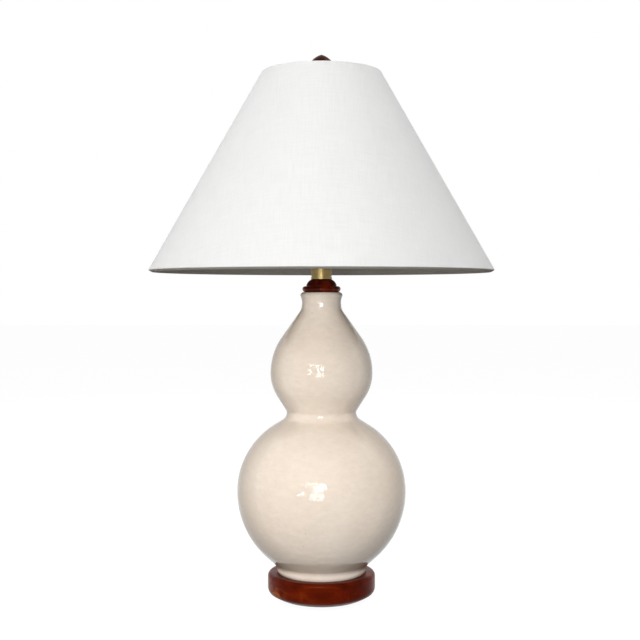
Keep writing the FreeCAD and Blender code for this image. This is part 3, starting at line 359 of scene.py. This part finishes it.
def metal(name, colour, base_roughness, stretch=(1, 1, 1), pitch=0):
    """Metal with hairlines and handling marks, or with threads of a pitch in metres."""
    material, tree, shader = new_material(name, Metallic=1.0)
    worn = use_effect(
        tree, scratches, Place=placed(tree, stretch=stretch), Base=base_roughness
    )
    fill(
        tree,
        shader,
        Base_Color=mixed(tree, 1.0, colour, worn.outputs["Tone"], "MULTIPLY"),
        Roughness=worn.outputs["Roughness"],
    )
    if pitch:
        thread = add_node(
            tree,
            "ShaderNodeTexWave",
            {"bands_direction": "Z", "wave_profile": "TRI"},
            Vector=placed(tree),
            Scale=wave_scale(pitch),
        )
        relief(tree, shader, thread.outputs["Fac"], 0.0004)
    else:
        relief(tree, shader, worn.outputs["Height"], 0.00002)
    return material


rod_pitch = 0.00094
zinc = metal("zinc_plate", (0.55, 0.56, 0.55, 1), 0.34)
zinc_thread = metal("zinc_thread", (0.52, 0.53, 0.52, 1), 0.34, pitch=rod_pitch)
finish_node("threaded_rod", zinc_thread)
for name in ("rod_washer", "lock_washer", "rod_nut", "set_screw", "bottom_ring"):
    finish_node(name, zinc)

# ---- cord inlet and foot cushion ----
# A bushing of black moulded plastic is pushed into the hole at the back of the base. A
# thin ring of dark rubber keeps the ceramic foot off the wood. The socket's insert is of
# the same black moulding.


def clouded_material(
    name, clouds, spread, colours, gloss=None, depth=0, stretch=(1, 1, 1), **sockets
):
    """Material of two tones mixed by one noise.

    clouds is the noise's scale and detail and a dict of what else it needs. spread is the
    part of its range between the two colours. It also drives the roughness where gloss
    has two values, and a relief where depth isn't 0.
    """
    material, tree, shader = new_material(name, **sockets)
    scale, detail, more = clouds
    mask = noise(tree, placed(tree, stretch=stretch), scale, detail, **more)
    fill(tree, shader, Base_Color=mixed(tree, ranged(tree, mask, *spread), *colours))
    if gloss:
        fill(tree, shader, Roughness=ranged(tree, mask, 0.3, 0.7, *gloss))
    if depth:
        relief(tree, shader, mask, depth)
    return material


moulding = clouded_material(
    "black_phenolic",
    (160.0, 5.0, {"Distortion": 1.5}),
    (0.35, 0.7),
    [(0.006, 0.005, 0.005, 1), (0.020, 0.016, 0.014, 1)],
    gloss=(0.24, 0.36),
    depth=0.00005,
    Specular_IOR_Level=0.45,
)
finish_node("cord_grommet", moulding)
finish_node("socket_insert", moulding)

rubber = clouded_material(
    "dark_rubber",
    (400.0, 4.0, {}),
    (0.4, 0.75),
    [(0.010, 0.009, 0.008, 1), (0.045, 0.040, 0.035, 1)],
    Roughness=0.85,
)
finish_node("foot_cushion", rubber)

# ---- gourd ----
# Slip-cast ceramic under a thick, glossy ivory glaze. The glaze is a little uneven, so
# reflections waver. It is warmer where it has pooled, finely mottled, and has a few small
# iron specks. Where it is seen edge on, its colour is painted darker: painted shade for the
# dim room that its gloss would mirror there.

glaze, glaze_tree, glaze_shader = new_material("ivory_glaze", IOR=1.34)
glaze_place = placed(glaze_tree)
pooled = noise(glaze_tree, glaze_place, 9.0, 3.0)
pooled_tone = mixed(
    glaze_tree,
    ranged(glaze_tree, pooled, 0.35, 0.65),
    (0.84, 0.715, 0.595, 1),
    (0.88, 0.775, 0.665, 1),
)
mottled = noise(
    glaze_tree, placed(glaze_tree, stretch=(0.55, 0.55, 1)), 190.0, 5.0, Roughness=0.65
)
mottled_tone = ranged(glaze_tree, mottled, 0.35, 0.65, 0.955, 1.02)
glaze_tone = mixed(glaze_tree, 1.0, pooled_tone, mottled_tone, "MULTIPLY")

specks = add_node(glaze_tree, "ShaderNodeTexVoronoi", Vector=glaze_place, Scale=95.0)
chances = add_node(
    glaze_tree, "ShaderNodeTexWhiteNoise", Vector=specks.outputs["Position"]
)
speck_size = ranged(glaze_tree, chances.outputs["Value"], 0.82, 1.0, 0.0, 0.085)
speck_mask = calculate(glaze_tree, "LESS_THAN", specks.outputs["Distance"], speck_size)
faint_specks = calculate(glaze_tree, "MULTIPLY", speck_mask, 0.4)
specked = mixed(glaze_tree, faint_specks, glaze_tone, (0.33, 0.23, 0.14, 1))

# Painted shade: the glaze colour darkens towards the silhouette, where it is seen edge on.
edge_on = add_node(glaze_tree, "ShaderNodeLayerWeight", Blend=0.5).outputs["Facing"]
painted_edge_shade_mask = ranged(glaze_tree, edge_on, 0.35, 0.95)
fill(
    glaze_tree,
    glaze_shader,
    Base_Color=mixed(glaze_tree, painted_edge_shade_mask, specked, (0.36, 0.28, 0.20, 1)),
    Roughness=ranged(glaze_tree, mottled, 0.3, 0.7, 0.025, 0.06),
)

waver = noise(glaze_tree, glaze_place, 34.0, 2.0)
throwing_lines = noise(
    glaze_tree, placed(glaze_tree, stretch=(0.12, 0.12, 1)), 210.0, 3.0
)
peel = noise(glaze_tree, glaze_place, 260.0, 2.0)
fine_height = calculate(
    glaze_tree,
    "ADD",
    calculate(glaze_tree, "MULTIPLY", throwing_lines, 0.10),
    calculate(glaze_tree, "MULTIPLY", peel, 0.09),
)
glaze_height = calculate(glaze_tree, "ADD", waver, fine_height)
relief(glaze_tree, glaze_shader, glaze_height, 0.0011)
finish_node("gourd_body", glaze)

# ---- neck cap ----
# Turned from the same mahogany as the base, under a thicker lacquer, but from the end of a
# spindle, so its grain stands upright. Its colours are painted lighter than the base's:
# painted light that makes up for the shade's shadow on it.
cap_mahogany_painted_light = lacquered_wood(
    "cap_mahogany_painted_light",
    (0, 0, 0),
    (0.11, 0.05, 0.0),
    0.20,
    # Painted light: these colours are lighter than the base's, for a cap that lies in the
    # shade's shadow.
    Dark=(0.065, 0.004, 0.001, 1),
    Body=(0.22, 0.018, 0.002, 1),
    Light=(0.58, 0.17, 0.03, 1),
)
finish_node("neck_cap", cap_mahogany_painted_light)

# ---- brass pieces ----
# Spun, stamped or drawn brass under a clear lacquer that has mellowed: the neck, saddle,
# harp and its stud and sleeves, the socket's cap and shell, the switch stem, the spider
# that carries the shade, and the insert in the finial. The contacts are bare brass.
lathe_marks = (0.25, 0.25, 3.0)
# The turned brass is painted darker than the drawn brass: painted shade for the dark
# surroundings its polish would mirror.
turned_brass_with_painted_shade = metal("turned_brass_with_painted_shade", (0.37, 0.275, 0.115, 1), 0.36, lathe_marks)
drawn_brass = metal("drawn_brass", (0.48, 0.36, 0.17, 1), 0.30)
plain_brass = metal("plain_brass", (0.78, 0.60, 0.32, 1), 0.30)
for name in ("brass_neck", "socket_cap", "socket_shell", "finial_insert", "harp_stud"):
    finish_node(name, turned_brass_with_painted_shade)
for name in ("harp_saddle", "harp_loop", "sleeve_front", "sleeve_back", "switch_stem"):
    finish_node(name, drawn_brass)
finish_node("spider_fitter", drawn_brass)
for name in ("terminal_screws", "centre_contact"):
    finish_node(name, plain_brass)

# ---- socket liner ----
# A tube of grey-brown pressed board that keeps the live parts off the shell.
liner_board = clouded_material(
    "liner_board",
    (500.0, 6.0, {"Roughness": 0.7}),
    (0.35, 0.65),
    [(0.20, 0.14, 0.085, 1), (0.42, 0.32, 0.21, 1)],
    depth=0.0001,
    stretch=(1, 1, 4),
    Roughness=0.85,
)
finish_node("shell_liner", liner_board)

# ---- screw shell ----
# Thin brass rolled into the wide thread of a lamp socket, seven turns to the inch, with
# an inward lip at the bottom.

thread_pitch = 0.003629
thread_steps = 48
rolled_metal = 0.0003
skin_gap = 0.00005


def wound_wall(shape, outline, sweep=math.tau, steps=96, start=0.0, climb=0.0):
    """Wall turned about the lamp's axis from a chain of (radius, height) corners.

    It sweeps an angle from a start angle, and climbs by a height in each step. A plain
    full turn closes on itself.
    """
    corners = [shape.verts.new((radius, 0, height)) for radius, height in outline]
    edges = [shape.edges.new(pair) for pair in zip(corners, corners[1:])]
    swing = Matrix.Rotation(start, 3, "Z")
    bmesh.ops.rotate(shape, cent=(0, 0, 0), matrix=swing, verts=corners)
    bmesh.ops.spin(
        shape,
        geom=corners + edges,
        cent=(0, 0, 0),
        axis=(0, 0, 1),
        dvec=(0, 0, climb),
        angle=sweep,
        steps=steps,
        use_merge=sweep == math.tau,
        use_duplicate=False,
    )


def screw_thread(shape, crest, root, start, turns):
    """Wall of a rolled thread: one wave of the thread, wound upwards about the axis."""
    wave = [(root, 0.0), (root, 0.12), (crest, 0.38), (crest, 0.62), (root, 0.88), (root, 1.0)]
    wound_wall(
        shape,
        [(radius, start + share * thread_pitch) for radius, share in wave],
        sweep=math.tau * turns,
        steps=thread_steps * turns,
        climb=thread_pitch / thread_steps,
    )


def join_walls(shape):
    """Weld the walls of a shape where they meet, and turn their faces one way."""
    bmesh.ops.remove_doubles(shape, verts=shape.verts[:], dist=0.000005)
    bmesh.ops.recalc_face_normals(shape, faces=shape.faces[:])


def thicken(piece, thickness):
    """Wall behind a piece's faces, shaded by its broad faces and not by its thin rims."""
    wall = piece.modifiers.new("thickness", "SOLIDIFY")
    wall.thickness = thickness
    wall.offset = -1
    evened = piece.modifiers.new("evened_shading", "WEIGHTED_NORMAL")
    evened.weight = 100


shell_low, shell_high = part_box("screw_shell")
shell_turns = 5
shell_crest = shell_high.x
shell_root = shell_crest - 0.0005
shell_start = shell_low.z + 0.0008
shell_end = shell_start + shell_turns * thread_pitch
lip_height = shell_low.z + skin_gap
shell_shape = bmesh.new()
screw_thread(shell_shape, shell_crest, shell_root, shell_start, shell_turns)
wound_wall(shell_shape, [(shell_root, shell_end), (shell_root, shell_high.z)])
wound_wall(
    shell_shape,
    [
        (shell_crest - 0.0047, lip_height),
        (shell_crest - 0.0008, lip_height),
        (shell_root, shell_low.z + 0.0004),
        (shell_root, shell_low.z + 0.0045),
    ],
)
join_walls(shell_shape)
screw_shell = new_piece(
    "rolled_screw_shell", shell_shape, "stand", plain_brass
)
thicken(screw_shell, rolled_metal)
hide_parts("screw_shell")

# ---- switch knob ----
# A fluted knob of the same black moulding as the cord inlet, pressed on the switch's stem
# at the side of the socket.
finish_node("switch_knob", moulding)

# ---- bulb ----
# A frosted household bulb: a soft-solder tip in black glass, a bright aluminium cap
# rolled into the same wide thread, and a white glass bulb.
finish_node("bulb_contact", metal("solder", (0.45, 0.45, 0.46, 1), 0.42))
black_glass = clouded_material(
    "black_glass",
    (300.0, 3.0, {}),
    (0.0, 1.0),
    [(0.004, 0.004, 0.006, 1), (0.02, 0.02, 0.03, 1)],
    Roughness=0.12,
)
finish_node("bulb_insulator", black_glass)

bulb_metal = metal("bulb_aluminium", (0.72, 0.73, 0.74, 1), 0.26)
cap_low, cap_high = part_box("bulb_cap")
cap_turns = 4
cap_crest = cap_high.x
cap_root = cap_crest - 0.0007
cap_start = cap_low.z + 0.0024
cap_end = cap_start + cap_turns * thread_pitch
cap_shape = bmesh.new()
screw_thread(cap_shape, cap_crest, cap_root, cap_start, cap_turns)
cap_collar = [
    (cap_root, cap_end - 0.0001),
    (cap_crest - 0.0003, cap_end + 0.0006),
    (cap_crest, cap_end + 0.0012),
    (cap_crest, cap_high.z - 0.0006),
    (cap_crest - 0.0004, cap_high.z),
    (cap_crest - 0.0012, cap_high.z),
]
cap_bottom = [
    (0.002, cap_low.z + skin_gap),
    (cap_crest - 0.0025, cap_low.z + skin_gap),
    (cap_root - 0.0004, cap_low.z + 0.0016),
    (cap_root, cap_start),
    (cap_root, cap_low.z + 0.0061),
]
wound_wall(cap_shape, cap_collar)
wound_wall(cap_shape, cap_bottom)
join_walls(cap_shape)
bulb_cap = new_piece("rolled_bulb_cap", cap_shape, "bulb", bulb_metal)
thicken(bulb_cap, rolled_metal)
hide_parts("bulb_cap")

frosted_glass = clouded_material(
    "frosted_glass",
    (80.0, 4.0, {}),
    (0.3, 0.7),
    [(0.80, 0.80, 0.79, 1), (0.86, 0.86, 0.855, 1)],
    gloss=(0.30, 0.38),
    Coat_Weight=0.6,
    Coat_Roughness=0.05,
)
finish_node("bulb_glass", frosted_glass)

# ---- shade cloth ----
# Fine natural-white linen, cut as a sector of a ring and glued to a stiff white sheet. Its
# threads run straight in the flat cut, so they lean towards the seam at the back. Slubs,
# the thicker stretches of yarn, show as faint streaks both ways. Where its faces point
# inward, towards the lamp's axis, it is painted darker: painted shade for the dim inside.

shade_bottom_radius = 0.2133
shade_top_radius = 0.0740
shade_height = 0.2463
shade_above_base = 0.3738
shade_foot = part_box("wood_base")[1].z + shade_above_base
lean = math.atan2(shade_bottom_radius - shade_top_radius, shade_height)
slant = shade_height / math.cos(lean)
shade_steps = 240
roll_radius = 0.002975
cloth_thickness = 0.0006
linen_wall = cloth_thickness - skin_gap


def on_shade(rise, depth, edge="bottom"):
    """(radius, height) of the place that far from an edge and that deep under the face."""
    up_slope = rise if edge == "bottom" else slant - rise
    across = shade_bottom_radius - up_slope * math.sin(lean) - depth * math.cos(lean)
    up = shade_foot + up_slope * math.cos(lean) - depth * math.sin(lean)
    return across, up


def lay_flat(shape):
    """UV map in metres of the flat cut, with its middle at the front of the shade."""
    layer = shape.loops.layers.uv.new("flat_cut")
    for face in shape.faces:
        middle = face.calc_center_median()
        centre_turn = math.atan2(middle.x, -middle.y)
        for loop in face.loops:
            place = loop.vert.co
            turn = math.atan2(place.x, -place.y)
            if turn - centre_turn > math.pi:
                turn -= math.tau
            if turn - centre_turn < -math.pi:
                turn += math.tau
            reach = Vector((place.x, place.y)).length / math.sin(lean)
            swing = turn * math.sin(lean)
            loop[layer].uv = (reach * math.sin(swing), reach * math.cos(swing))


def linen_piece(name, shape):
    """Piece of the shade's cloth, with its weave laid flat and its thickness behind it."""
    lay_flat(shape)
    piece = new_piece(name, shape, "shade", linen)
    thicken(piece, linen_wall)
    return piece


weave, weave_in, weave_out = new_effect(
    "linen_weave",
    [("Flat", "vector", (0, 0, 0))],
    [("Tone", "number"), ("Height", "number")],
)
yarn_spacing = 0.00062
yarns = []
threads = []
for direction, squeeze in (("X", (1, 0.05, 1)), ("Y", (0.05, 1, 1))):
    lines = add_node(
        weave,
        "ShaderNodeTexWave",
        {"bands_direction": direction},
        Vector=weave_in.outputs["Flat"],
        Scale=wave_scale(yarn_spacing),
        Distortion=1.4,
        Detail=2.0,
        Detail_Scale=0.4,
    )
    yarn_place = add_node(
        weave, "ShaderNodeMapping", Vector=weave_in.outputs["Flat"], Scale=squeeze
    )
    slubs = noise(weave, yarn_place.outputs["Vector"], 620.0, 3.0, Roughness=0.6)
    yarn = ranged(weave, slubs, 0.32, 0.72)
    yarn_height = calculate(weave, "ADD", yarn, 0.4)
    yarns.append(yarn)
    threads.append(calculate(weave, "MULTIPLY", lines.outputs["Fac"], yarn_height))
fill(
    weave,
    weave_out,
    Tone=ranged(weave, calculate(weave, "ADD", *yarns), 0.2, 1.8, 1.02, 0.955),
    Height=calculate(weave, "MAXIMUM", *threads),
)

linen, linen_tree, linen_shader = new_material(
    "natural_white_linen",
    Roughness=0.92,
    Specular_IOR_Level=0.25,
    Sheen_Weight=0.08,
    Sheen_Roughness=0.5,
)
flat_place = add_node(linen_tree, "ShaderNodeUVMap", {"uv_map": "flat_cut"})
cloth = use_effect(linen_tree, weave, Flat=flat_place.outputs["UV"])
toned_linen = mixed(
    linen_tree, 1.0, (0.765, 0.760, 0.755, 1), cloth.outputs["Tone"], "MULTIPLY"
)
linen_place = linen_tree.nodes.new("ShaderNodeTexCoord")
facing_out = add_node(linen_tree, "ShaderNodeVectorMath", {"operation": "DOT_PRODUCT"})
feed(linen_tree, facing_out.inputs[0], linen_place.outputs["Object"])
feed(linen_tree, facing_out.inputs[1], linen_place.outputs["Normal"])
# Painted shade: faces that point inward, such as the turned-in flaps, get a darker colour.
painted_inside_shade = ranged(linen_tree, facing_out.outputs["Value"], 0.06, -0.06)
fill(
    linen_tree,
    linen_shader,
    Base_Color=mixed(linen_tree, painted_inside_shade, toned_linen, (0.40, 0.375, 0.34, 1)),
)
relief(linen_tree, linen_shader, cloth.outputs["Height"], 0.00018, 0.7)

cover_shape = bmesh.new()
cover_rows = 24
cover_rise = slant - 2 * roll_radius
cover_outline = [
    on_shade(roll_radius + cover_rise * row / cover_rows, 0) for row in range(cover_rows + 1)
]
wound_wall(cover_shape, cover_outline, steps=shade_steps)
bmesh.ops.recalc_face_normals(cover_shape, faces=cover_shape.faces[:])
cover = linen_piece("shade_cloth", cover_shape)
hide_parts("shade_fabric")

# ---- seam ----
# At the back the cloth laps over itself by about 12 mm and is glued down. The lap's two
# edges stand up by one thickness of the linen.
seam_half_width = 0.006
lap_shape = bmesh.new()
bmesh.ops.create_grid(lap_shape, x_segments=6, y_segments=60, size=1.0)
for corner in lap_shape.verts:
    rise = roll_radius + cover_rise * (corner.co.y + 1) / 2
    radius, height = on_shade(rise, -cloth_thickness - skin_gap)
    turn = corner.co.x * seam_half_width / radius
    corner.co = (radius * math.sin(turn), radius * math.cos(turn), height)
bmesh.ops.recalc_face_normals(lap_shape, faces=lap_shape.faces[:])
for face in lap_shape.faces:
    if face.normal.y < 0:
        face.normal_flip()
lap = linen_piece("seam_of_shade", lap_shape)
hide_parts("seam_lap")

# ---- rolled edges ----
# At both edges the linen is rolled round the ring and glued down inside. The top roll is
# slit where the three arms of the spider come through.

roll_corners = 14
roll_tightness = 0.42
flap_depth = 0.0015


def rolled_chain(edge, first, last, flap):
    """Chain round the ring's wire from one angle to another, with the inside flap.

    The cloth is drawn tight over the edge of the stiff sheet, so the turn is squarish.
    """
    chain = []
    for step in range(roll_corners + 1):
        turn = math.radians(first + (last - first) * step / roll_corners)
        down = math.sin(turn) ** roll_tightness if math.sin(turn) > 1e-6 else 0.0
        inward = math.copysign(abs(math.cos(turn)) ** roll_tightness, math.cos(turn))
        chain.append(
            on_shade(roll_radius - roll_radius * down, roll_radius - roll_radius * inward, edge)
        )
    if flap:
        inside = flap_depth + cloth_thickness
        chain.append(on_shade(roll_radius + 0.0010, 2 * roll_radius, edge))
        chain.append(on_shade(roll_radius + 0.0048, inside, edge))
        chain.append(on_shade(roll_radius + 0.0090, inside, edge))
    return chain


def outward_from_roll(shape, edge):
    """Turn a roll's faces away from the wire that it goes round."""
    join_walls(shape)
    farthest, outward = (min, -1) if edge == "bottom" else (max, 1)
    tip = farthest(shape.faces, key=lambda face: face.calc_center_median().z)
    if tip.normal.z * outward < 0:
        bmesh.ops.reverse_faces(shape, faces=shape.faces[:])


bottom_shape = bmesh.new()
wound_wall(bottom_shape, rolled_chain("bottom", 0, 180, True), steps=shade_steps)
outward_from_roll(bottom_shape, "bottom")
bottom_roll = linen_piece("bottom_rolled_edge", bottom_shape)
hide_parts("bottom_hem")

arm_count = 3
arm_spacing = 360 // arm_count
half_slit = 1.8
top_shape = bmesh.new()
wound_wall(top_shape, rolled_chain("top", 0, 90, False), steps=shade_steps)
for arm in range(arm_count):
    wound_wall(
        top_shape,
        rolled_chain("top", 90, 180, True),
        sweep=math.radians(arm_spacing - 2 * half_slit),
        steps=60,
        start=math.radians(arm * arm_spacing + half_slit),
    )
outward_from_roll(top_shape, "top")
top_roll = linen_piece("top_rolled_edge", top_shape)
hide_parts("top_hem")

# ---- shade backing ----
# The stiff sheet behind the cloth, which the cloth is glued to. It is matt white, a
# little warmer than the linen, with a faint fine grain. It is painted a little darker than
# the linen: painted shade for the dim inside of the shade.
white_sheet = clouded_material(
    "matt_white_sheet",
    (300.0, 3.0, {}),
    (0.3, 0.7),
    # Painted shade: these whites are darker than the linen's, for the dim inside of the shade.
    [(0.62, 0.60, 0.565, 1), (0.68, 0.66, 0.625, 1)],
    depth=0.00006,
    Roughness=0.8,
)
finish_node("shade_backing", white_sheet)

# ---- finial ----
# A small knob turned from the same mahogany, grain upright and stained almost black, on a
# threaded brass insert that screws down on the spider.
finial_mahogany = lacquered_wood(
    "finial_mahogany",
    (0, 0, 0.6),
    (0.02, 0.17, 0.03),
    0.05,
    Dark=(0.016, 0.002, 0.001, 1),
    Body=(0.055, 0.006, 0.003, 1),
    Light=(0.33, 0.070, 0.009, 1),
)
finish_node("finial_knob", finial_mahogany)

# ---- studio ----
# A white floor and surround. Daylight comes through a window's panes in front and on the
# left, and soft fill lamps stand round the object. Light Path keeps the surround white.
floor_reach = 12.0
floor_shape = bmesh.new()
bmesh.ops.create_grid(floor_shape, x_segments=1, y_segments=1, size=floor_reach)
floor_mesh = bpy.data.meshes.new("floor")
floor_shape.to_mesh(floor_mesh)
floor_shape.free()
floor = bpy.data.objects.new("floor", floor_mesh)
bpy.context.scene.collection.objects.link(floor)
floor_material, floor_tree, floor_shader = new_material(
    "white_floor",
    Base_Color=(0.13, 0.13, 0.13, 1),
    Roughness=1.0,
    Specular_IOR_Level=0.0,
    Emission_Color=(1, 1, 1, 1),
)
floor_mesh.materials.append(floor_material)


def background_rays(tree):
    """1 for rays that see the white surround: from the camera, off gloss, through glass."""
    paths = tree.nodes.new("ShaderNodeLightPath").outputs
    seen = calculate(tree, "MAXIMUM", paths["Is Camera Ray"], paths["Is Glossy Ray"])
    return calculate(tree, "MAXIMUM", seen, paths["Is Transmission Ray"])


def surround_strength(tree, lighting, seen):
    """One strength where the surround lights the object, another where it is seen."""
    return ranged(tree, background_rays(tree), 0, 1, lighting, seen)


fill(floor_tree, floor_shader, Emission_Strength=surround_strength(floor_tree, 0.0, 0.94))
world = bpy.data.worlds.new("white_surround")
bpy.context.scene.world = world
world.use_nodes = True
sky = world.node_tree
fill(
    sky,
    sky.nodes["Background"],
    Color=(1, 1, 1, 1),
    Strength=surround_strength(sky, 0.32, 1.0),
)


def soft_lamp(name, place, aim, width, height, watts, mirrored):
    """Area lamp at a place, turned to an aim. Gloss mirrors it only where that is asked."""
    light = bpy.data.lights.new(name, "AREA")
    light.shape = "RECTANGLE"
    light.size = width
    light.size_y = height
    light.energy = watts
    lamp = bpy.data.objects.new(name, light)
    lamp.location = place
    lamp.rotation_euler = (Vector(aim) - Vector(place)).to_track_quat("-Z", "Y").to_euler()
    lamp.visible_glossy = mirrored
    bpy.context.scene.collection.objects.link(lamp)


# Each pane's name, place across and up in the window, width, height and watts. All are
# turned a little towards the lamp.
window_distance = 2.1
pane_turn = 0.3
pane_aim_height = 0.3
window_panes = [
    ("low_left", -0.30, 0.22, 0.24, 0.34, 4.0),
    ("low_right", 0.02, 0.22, 0.24, 0.34, 3.4),
    ("high_left", -0.30, 0.62, 0.24, 0.26, 8.1),
    ("high_right", 0.02, 0.62, 0.24, 0.26, 7.7),
    ("far_left", -0.92, 0.42, 0.20, 0.30, 4.2),
    ("left_low", -1.16, 0.30, 0.12, 0.14, 1.2),
    ("light_bar", -0.42, 0.86, 1.30, 0.05, 4.0),
]
for pane, across, up, width, height, watts in window_panes:
    place = (across, -window_distance, up)
    aim = (across * pane_turn, 0, pane_aim_height)
    soft_lamp(pane, place, aim, width, height, watts, mirrored=True)

# Each fill lamp's name, place, height of its aim on the lamp's axis, width, height, watts.
fill_lamps = [
    ("side_lamp", (-1.9, -1.3, 0.7), 0.35, 0.5, 1.0, 6),
    ("top_lamp", (0.1, -0.35, 2.6), 0.50, 1.2, 1.2, 10),
    ("right_lamp", (1.5, -0.3, 1.6), 0.50, 0.8, 0.8, 7.5),
    ("left_lamp", (-1.5, -0.3, 1.6), 0.50, 0.8, 0.8, 6),
    ("left_back_lamp", (-1.5, 1.3, 1.3), 0.45, 0.9, 0.9, 10),
    ("right_back_lamp", (1.5, 1.3, 1.3), 0.45, 0.9, 0.9, 11),
]
for lamp_name, place, aim_height, width, height, watts in fill_lamps:
    soft_lamp(lamp_name, place, (0, 0, aim_height), width, height, watts, mirrored=False)

# The camera stands level at the height of the gourd's mouth, 1.37 m from the lamp's axis.
# The small shift puts the horizon where the photograph has it.
picture_pixels = 640
focal_pixels = 1100
lens = bpy.data.cameras.new("camera")
lens.sensor_width = 36.0
lens.lens = lens.sensor_width * focal_pixels / picture_pixels
lens.shift_x = -1.5 / picture_pixels
lens.shift_y = -26.0 / picture_pixels
camera = bpy.data.objects.new("camera", lens)
camera.location = (0, -1.3695, 0.3768)
camera.rotation_euler = (math.radians(90), 0, 0)
bpy.context.scene.collection.objects.link(camera)
bpy.context.scene.camera = camera
